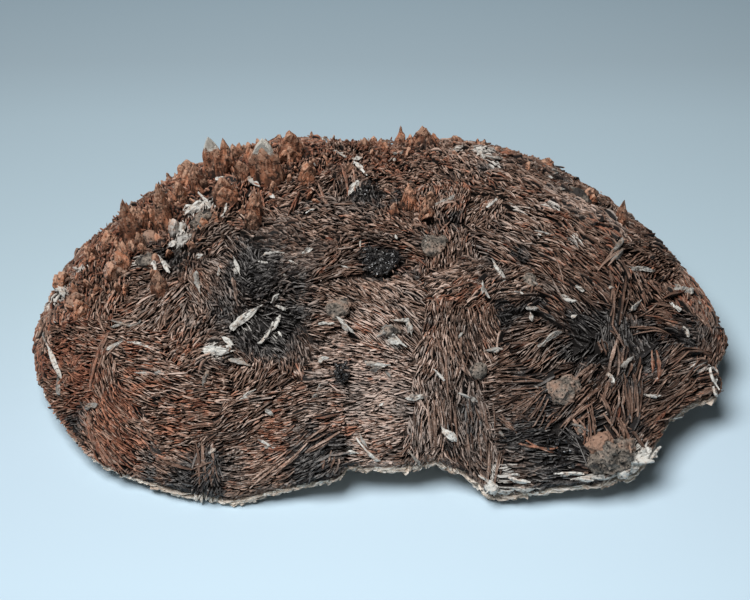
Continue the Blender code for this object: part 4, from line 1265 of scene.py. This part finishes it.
def addCrystals():
    # a listed crystal is a book of three leaves, the middle one the tallest
    rng = np.random.default_rng(crystals["seed"])
    rows = []
    for x, y, width, height, thick, turn, lean, tip in crystals["listed"]:
        for leaf in range(crystals["leaves"]):
            middle = leaf == 1
            aside = (leaf - 1) * thick * 0.4
            angle = math.radians(turn)
            rows.append((x - math.sin(angle) * aside, y + math.cos(angle) * aside,
                         width * (0.95 if middle else rng.uniform(0.55, 0.85)),
                         height * (0.93 if middle else rng.uniform(0.5, 0.85)),
                         thick * (0.72 if middle else 0.5), turn + rng.normal(0, 9), lean + rng.normal(0, 7),
                         0.7, tip if middle else 0, -0.3, rng.uniform(0, 1)))
    book = crystals["book"]
    roughLeaves("rustCrystals", rows, ((2.6, 0.36), (1.0, 0.16), (0.5, 0.14)), rustCrystal, 71, book)
    small = []
    for x0, y0, reach in crystals["homes"]:
        for _ in range(int(reach * crystals["crowding"])):
            x, y = x0 + rng.normal(0, reach * 0.5), y0 + rng.normal(0, reach * 0.5)
            if shareAt(np.array([x]), np.array([y]))[0] > 0.93:
                continue
            size = rng.uniform(1.4, 4.0)
            small.append((x, y, size * rng.uniform(0.6, 1.2), size * rng.uniform(0.8, 1.2),
                          size * 0.22 + 0.15, rng.normal(0, 40), rng.normal(0, 20), 0.35, 0, -0.3,
                          rng.uniform(0, 0.7)))
    roughLeaves("rustCrystalsSmall", small, ((1.6, 0.28), (0.7, 0.18)), rustCrystal, 72, dict(book, cuts=2))


addCrystals()


paleOnes = {
    # across, back, length, breadth, turn, and tone from 0 for grey to 1 for white
    "listed": [
        (33, -18, 8.7, 1.7, -74, 0.8), (29, -25, 5.6, 1.4, -76, 0.6), (75, -4, 9.1, 1.4, 27, 0.6),
        (68, -2, 8.8, 1.4, 59, 0.3), (42, -29, 3.3, 1.7, 8, 0.7), (53, -23, 3.3, 1.4, -5, 0.9),
        (56, -19, 2.3, 1.2, -25, 0.7), (72, -20, 7.9, 1.7, 55, 0.6), (84, -14, 3.6, 1.7, -36, 0.9),
        (86, -5, 2.9, 1.7, -24, 0.6), (87, -21, 3.3, 2.0, -47, 0.6), (31, -41, 4.7, 1.7, 15, 0.7),
        (47, -37, 8.9, 1.7, 44, 0.5), (24, -51, 4.8, 2.0, -29, 0.6), (19, -58, 6.0, 2.0, -57, 0.9),
        (64, -45, 3.6, 1.2, -61, 0.8), (76, -44, 6.3, 1.7, 8, 0.8), (52, -66, 7.5, 1.4, -2, 0.9),
        (38, -67, 6.4, 1.7, -25, 0.8), (94, -35, 6.3, 2.0, -66, 0.9), (-93, -27, 16.6, 1.4, -74, 0.7),
        (-93, 1, 14.1, 2.0, -65, 0.9), (-97, -15, 4.5, 1.2, -77, 0.6), (-72, -24, 8.3, 1.2, -9, 0.45),
        (-68, -32, 11.1, 1.2, -23, 0.5), (-65, -41, 7.8, 1.4, -13, 0.5), (-81, -44, 3.4, 1.7, -8, 0.5),
        (-49, -45, 4.4, 1.2, 73, 0.3), (-46, -38, 9.5, 2.4, -8, 0.8), (-38, -28, 10.5, 2.2, 49, 0.85),
        (-32, -33, 7.3, 2.8, 59, 1), (-29, -29.5, 3.6, 2.2, 75, 1), (-43, -35.5, 4, 2, -40, 0.9),
        (-28, -26, 3.1, 1.4, -34, 0.7), (-37, -50, 5.1, 1.7, 43, 1), (-31, -54, 3.2, 1.2, -45, 0.4),
        (-32, -60, 4.6, 1.4, -46, 0.6), (-47, -61, 2.4, 1.2, 42, 0.4), (-39, -42, 7.2, 1.2, -25, 0.5),
        (-16, -42, 2.6, 1.2, 9, 0.8), (9, -51, 4.6, 1.7, 15, 0.7), (16, -46, 3.9, 1.4, -54, 0.5),
        (-4, -61, 8.6, 1.2, -60, 0.8), (9, -62, 4.3, 0.9, -56, 0.4), (-1, -44, 6.7, 2.0, -4, 0.45),
        (-10, -34, 7.0, 1.7, -46, 0.5), (-15, -33, 4.3, 0.9, 4, 0.5), (4, -38, 7.2, 2.0, -39, 1),
        (-6, 23, 7.4, 1.4, -61, 1), (-8, 16, 6.7, 1.7, 64, 0.8), (19, 9, 7.2, 1.4, 36, 0.7),
        (32, 9, 4.9, 1.2, 43, 0.6), (47, -1, 5.4, 1.7, -12, 0.6), (68, 2, 11.2, 1.7, 65, 0.4),
        (13, -7, 3.2, 1.4, -58, 0.8), (-12, 31, 5.5, 1.7, -56, 0.6), (29, 36, 8.6, 2.0, -79, 0.9),
        (33, 34, 4.9, 1.7, -1, 0.6), (-51, 16, 9.1, 1.4, -70, 0.9), (-45, 10, 4.9, 0.9, 82, 1),
        (-65, -5, 6.2, 1.2, -79, 1), (-62, -6, 8.2, 1.2, -64, 0.9), (-37, 20, 6.7, 2.0, -57, 0.4),
        (-31, -8, 5.8, 1.2, 12, 0.5), (-25, -12, 3.5, 1.4, -41, 0.5), (-41, -12, 7.2, 1.2, -81, 0.6),
        (-52, -16, 8.2, 1.7, -84, 0.4), (-78, -2, 4.8, 1.7, -64, 0.6), (69, -37, 5.1, 1.4, 45, 0.3),
        (68, -60, 4.3, 1.7, -30, 0.2), (55, -58, 4.5, 1.4, -33, 0.15), (43, -19, 4.7, 2.0, -52, 0.3),
        (57, -67, 8.3, 1.4, 1, 0.8), (71, -63, 9.6, 2.6, 6, 1), (76, -60, 5.4, 2.0, 57, 0.9),
        (30, -66, 6.1, 1.7, -47, 0.9), (-21, -8, 3.8, 1.2, 25, 0.5), (1, -36, 5.5, 2.4, 35, 0.35),
        (5, -33, 4.5, 2.2, -5, 0.45), (8, -35, 5, 1.2, -75, 0.3), (-8, -61, 3.5, 1.6, 10, 0.7),
        (-54, 14, 6, 3.4, 15, 0.9), (-58, 7, 5, 2.2, -70, 0.8), (-57, 1, 6, 3, 50, 0.6),
        (-18, 47, 5, 2.4, 70, 0.6), (88, -4, 6, 2.4, 30, 0.7), (-75, -30, 5, 1.2, 30, 0.5),
    ],
    "slivers": 2,
    "scattered": 70,
    "seed": 57,
    "flake": {"cuts": 2, "lying": True, "skew": 0.12, "curl": 0.06, "bend": 0.05, "pull": 0.3, "thin": 0.2,
              "ridge": 0.35, "stripes": 0.1, "whiteFrom": 1.0},
}


def addPaleBlades():
    # most lie nearly flat on the brown blades, so that their broad faces show
    rng = np.random.default_rng(paleOnes["seed"])
    flake = paleOnes["flake"]
    rows = []
    for x, y, length, breadth, turn, tone in paleOnes["listed"]:
        angle, side = math.radians(turn), rng.choice([-1, 1])
        for sliver in range(paleOnes["slivers"]):
            main = sliver == 0
            aside = 0.0 if main else rng.normal(0, 0.35) * breadth
            shift = 0.0 if main else rng.uniform(-0.42, 0.42) * length
            rows.append((x - math.sin(angle) * aside + math.cos(angle) * shift,
                         y + math.cos(angle) * aside + math.sin(angle) * shift,
                         length * (1.08 if main else rng.uniform(0.25, 0.6)),
                         breadth * (0.5 if main else 0.4) * rng.uniform(0.8, 1.2), rng.uniform(0.25, 0.45),
                         turn + rng.normal(0, 4 if main else 14),
                         side * rng.uniform(25, 60) + rng.normal(0, 14),
                         0.0, 0, 0.55 if main else rng.uniform(0.3, 0.75),
                         np.clip(tone + rng.normal(0, 0.14) - (0 if main else 0.15), 0, 1)))
    roughLeaves("paleBlades", rows, ((1.8, 0.24), (0.7, 0.14)), paleBlade, 73, flake)
    few = []
    for _ in range(paleOnes["scattered"]):
        angle = rng.uniform(-math.pi, math.pi)
        x, y = fromCrown(float(edgeAt(angle)[0]) * math.sqrt(rng.uniform(0, 0.9)), angle)
        size = rng.uniform(1.2, 3.2)
        few.append((x, y, size, size * rng.uniform(0.14, 0.3), size * 0.1 + 0.1, rng.uniform(-90, 90),
                    rng.uniform(-80, 80), 0.0, 0, 0.5, rng.uniform(0.2, 0.9)))
    roughLeaves("paleChips", few, ((1.2, 0.14), (0.6, 0.08)), paleBlade, 74, dict(flake, cuts=1))


addPaleBlades()


def ballForm(steps):
    deselect()
    bpy.ops.mesh.primitive_ico_sphere_add(subdivisions=steps, radius=1.0)
    return readForm(bpy.context.object)


# across, back, three half sizes, turn, how far out of the dome its middle sits, and its tone
lumps = {
    "greyLumps": {
        "listed": [
            (51, -50, 4.4, 3.9, 3.0, 30, -0.2, 0.6), (64, -63, 5.6, 4.6, 4.6, -35, -1.8, 0.42),
            (61, -61, 3.4, 2.8, 2.8, 30, -0.4, 0.9), (67.5, -61.5, 3.0, 2.6, 2.6, 0, -0.4, 0.6),
            (60, -65, 3.2, 2.6, 2.4, 60, -0.8, 0.4), (-12, -29, 3.5, 2.8, 1.9, 20, -0.2, 0.5),
            (27, -46, 2.4, 1.9, 1.5, 0, -0.1, 0.45), (15, -9, 3.6, 3.0, 2.2, 40, -0.2, 0.55),
            (42, -19, 2.0, 1.8, 1.4, 0, 0.0, 0.45), (58, 25, 4.6, 1.8, 1.4, -30, 0.2, 0.05),
            (-67, 7, 1.9, 1.7, 1.5, 0, 0.3, 0.7), (-68, -2, 2.1, 2.0, 2.2, 0, 0.0, 0.35),
            (-52, 8, 3.5, 2.4, 2.0, 30, 0.0, 0.4), (-76, -2, 3.2, 2.6, 2.2, 0, 0.0, 0.8),
            (-88, -8, 2.6, 2.0, 1.8, 30, 0.0, 0.8), (3, -36, 2.2, 1.6, 1.8, 20, -0.2, 0.45),
        ],
        "material": greyLump, "seed": 81, "pointed": 0.0, "hook": 0.0},
    "paleLumps": {
        "listed": [
            (-54, 14, 3.4, 1.6, 1.4, 15, 0.5, 0.8), (-58, 7, 2.6, 1.2, 1.4, -65, 0.5, 0.7),
            (-57, 1, 2.8, 1.4, 1.3, 40, 0.5, 0.5), (67.5, -65, 4.2, 2.0, 2.4, 30, -0.9, 0.75),
            (73, -61, 4.0, 2.0, 2.8, 60, -1.4, 0.8), (40, -68, 4.4, 1.2, 1.4, 0, -1.2, 0.6),
            (31, -67, 2.6, 1.2, 2.2, 40, -0.9, 0.8), (95, -32, 3.4, 1.2, 2.0, 110, -0.8, 0.8),
            (60, -67, 5.0, 1.2, 1.4, 5, -1.0, 0.5),
        ],
        "material": paleBlade, "seed": 84, "pointed": 0.75, "hook": 0.6},
}


def addLumps():
    # grey ones are round and pitted, pale ones pointed and bent, flat on the stone
    form, corners = ballForm(4)
    for name, lump in lumps.items():
        x, y, a, b, c, turn, lift, tone = np.array(lump["listed"], float).T
        none = np.zeros(len(x))
        along, across, up = standing(x, y, np.radians(turn), none, none)
        slim = 1 - lump["pointed"] * np.abs(form[:, :1]) ** 1.3
        shaped = form * np.concatenate([np.ones_like(slim), slim, slim], -1)
        local = shaped[None] * np.stack([a, b, c], -1)[:, None]
        flat = local.reshape(-1, 3) + np.repeat(np.arange(len(x)) * 17.3, len(form))[:, None]
        size = np.repeat(np.minimum(1.5, c / 3), len(form))
        seed = lump["seed"]
        bumps = size * (1.2 * cloud(flat, 3.0, seed) + 0.7 * ridged(flat, 1.7, seed + 1)
                        + 0.34 * ridged(flat, 0.8, seed + 2) + 0.1 * cloud(flat, 0.35, seed + 3))
        local = local + form[None] * bumps.reshape(len(x), len(form), 1)
        local[..., 1] += lump["hook"] * (form[:, 0] ** 2) * np.sign(turn - 50)[:, None]
        points = placed(onTop(x, y) + up * lift[:, None], local, along, across, up)
        keepOffFloor(points)
        values = {"rise": np.tile(form[:, 2] * 0.5 + 0.5, (len(x), 1)), "shade": spread(tone, len(form))}
        joined(name, points, corners, values, lump["material"])


addLumps()


crumbs = {
    # the pits that glossy black crumbs crowd: across, back, two half sizes, how many
    "pits": [(-3.6, -10.5, 3.2, 3.2, 230), (2.2, -12, 3.2, 2.9, 240), (-0.5, -15, 3.2, 1.9, 110),
             (-11, -45, 2.3, 1.9, 90), (-6, 14, 2.6, 2.2, 40), (50, -62, 5.0, 3.0, 50)],
    "blackSize": (0.22, 0.7), "blackLift": 0.1, "blackStretch": (1, 1, 1),
    # brown grains lie between the blades everywhere, and most where the stone is rubbly
    "grains": 21000, "sparse": 0.07, "crowded": 0.4,
    "grainSize": (0.2, 0.5), "grainLift": 0.4, "grainStretch": (1.9, 0.6, 0.9),
    "seed": 91,
}


def layOut(name, spots, size, lift, stretch, material, rng):
    form, corners = ballForm(1)
    count = len(spots)
    x, y = spots.T
    squash = rng.uniform(0.5, 1.4, (count, 1, 3)) * stretch
    points = form[None] * squash * size[:, None, None] * rng.uniform(0.65, 1.3, (count, len(form), 1))
    turn = rng.uniform(0, math.tau, count)
    c, s = np.cos(turn)[:, None], np.sin(turn)[:, None]
    points = np.stack([points[..., 0] * c - points[..., 1] * s, points[..., 0] * s + points[..., 1] * c,
                       points[..., 2]], -1)
    base = onTop(x, y) + outOf(x, y) * (lift + rng.normal(0, 0.4, count))[:, None]
    values = groundValues(x, y, len(form))
    values["rise"] = np.ones((count, len(form)))
    values["shade"] = spread(np.clip(rng.beta(1.6, 1.8, count), 0, 1), len(form))
    joined(name, base[:, None] + points, corners, values, material)


def addCrumbs():
    rng = np.random.default_rng(crumbs["seed"])
    spots = np.concatenate([
        np.array([x, y]) + np.sqrt(rng.uniform(0, 1, (count, 1))) * np.array([a, b])
        * unit(rng.normal(0, 1, (count, 2))) * (1 + 0.15 * rng.normal(0, 1, (count, 1)))
        for x, y, a, b, count in crumbs["pits"]])
    size = rng.uniform(*crumbs["blackSize"], len(spots))
    layOut("blackCrumbs", spots, size, crumbs["blackLift"], crumbs["blackStretch"], blackDruse, rng)
    count = crumbs["grains"]
    angle = rng.uniform(-math.pi, math.pi, count)
    x, y = fromCrown(edgeAt(angle)[0] * np.sqrt(rng.uniform(0, 0.88, count)), angle)
    crumble = crumbleAt(x, y)
    keep = rng.uniform(0, 1, count) < crumbs["sparse"] + crumbs["crowded"] * crumble
    size = rng.uniform(*crumbs["grainSize"], count) + crumble * rng.uniform(0, 0.7, count) ** 2
    spots = np.stack([x, y], -1)[keep]
    layOut("brownGrains", spots, size[keep], crumbs["grainLift"], crumbs["grainStretch"], brownBlades, rng)


addCrumbs()


def layOnRim(name, spec, material):
    # broken blades on the outer wall, brown above and pale along its lower edge
    rng = np.random.default_rng(spec["seed"])
    count = spec["count"]
    angle = rng.uniform(-math.pi, math.pi, count)
    reach, foot, wall = edgeAt(angle)
    climb = rng.uniform(*spec["climb"], count)  # under 0 on the undercut, over 0 on the wall
    below = climb < 0
    share = 1 + np.minimum(climb, 0) * 0.16
    rise = underRise(share)
    out = reach * share * (1 - slab["inset"] * np.where(below, rise, 1 - climb) * spec["inset"])
    x, y = fromCrown(out - rng.uniform(*spec["back"], count), angle)
    base = np.stack([x, y, np.where(below, foot * rise, foot + wall * climb)], -1)
    # along the edge here, and straight out of it
    step = 0.02
    nextX, nextY = fromCrown(edgeAt(angle + step)[0], angle + step)
    hereX, hereY = fromCrown(reach, angle)
    alongRim = unit(np.stack([nextX - hereX, nextY - hereY, np.zeros(count)], -1))
    upright = np.array([0, 0, 1.0])
    outward = np.cross(alongRim, upright)
    # a blade seen from its side lies along the wall, and one seen from its end stands on it
    nearest, _, _, _ = bundleAt(x, y)
    grain = heading(bundles["turn"][nearest])
    beside = np.sum(grain * alongRim, -1, keepdims=True)
    facing = np.abs(np.sum(grain * outward, -1, keepdims=True))
    tip = np.stack([rng.normal(0, 0.15, count), rng.normal(0, 0.15, count),
                    np.where(below, -0.9, rng.uniform(-0.4, 0.35, count))], -1)
    outward = unit(outward + tip)
    tall = alongRim * beside + upright * facing * spec["upright"] + rng.normal(0, 0.16, (count, 3))
    tall = unit(tall - outward * np.sum(tall * outward, -1, keepdims=True))
    across = np.cross(outward, tall)
    form, corners = bladeForm(spec["cuts"])
    fitting = 1 - np.abs(tall[:, 2]) * (1 - np.clip(wall / 6, 0.4, 0.9))  # upright blades fit in the wall
    length = rng.uniform(*spec["length"], count) * fitting
    thick = rng.uniform(*spec["thick"], count)
    ends = np.abs(form[:, 0]) > 0.45
    chip = rng.normal(0, 0.2, (count, len(form))) - np.where(ends, rng.uniform(0.2, 0.9, (count, 1)), 0)
    stations, at = perStation(form)
    fat = rng.uniform(0.6, 1.3, (count, stations))[:, at] * np.where(ends, 0.5, 1.0)
    high = form[:, 2] > 0
    local = np.stack([form[:, 0] * length[:, None],
                      form[:, 1] * thick[:, None] * fat,
                      np.where(high, chip + spec["proud"], -spec["depth"])], -1)
    points = placed(base, local, tall, across, outward)
    cutAtRim(points, 1.2)
    shade = 0.5 + 0.35 * cloud(base, 9.0, 103) + rng.normal(0, 0.16, count)
    values = groundValues(x, y, len(form))
    values["rise"] = np.tile(high.astype(float), (count, 1))
    values["shade"] = spread(np.clip(shade, 0, 1), len(form))
    joined(name, points, corners, values, material)


wallBlades = {"count": 2700, "climb": (0.45, 1.0), "back": (0.8, 1.4), "length": (2.0, 5.0),
              "thick": (0.3, 0.65), "depth": 1.8, "proud": 0.9, "upright": 1.0, "inset": 1.0, "cuts": 3,
              "seed": 101}
layOnRim("wallBlades", wallBlades, brownBlades)

paleRim = {"count": 1700, "climb": (-0.14, 0.3), "back": (0.9, 1.5), "length": (2.0, 6.0),
           "thick": (0.2, 0.5), "depth": 2.0, "proud": 0.8, "upright": 0.35, "inset": 0.35, "cuts": 3,
           "seed": 102}
layOnRim("paleRim", paleRim, paleSplinter)
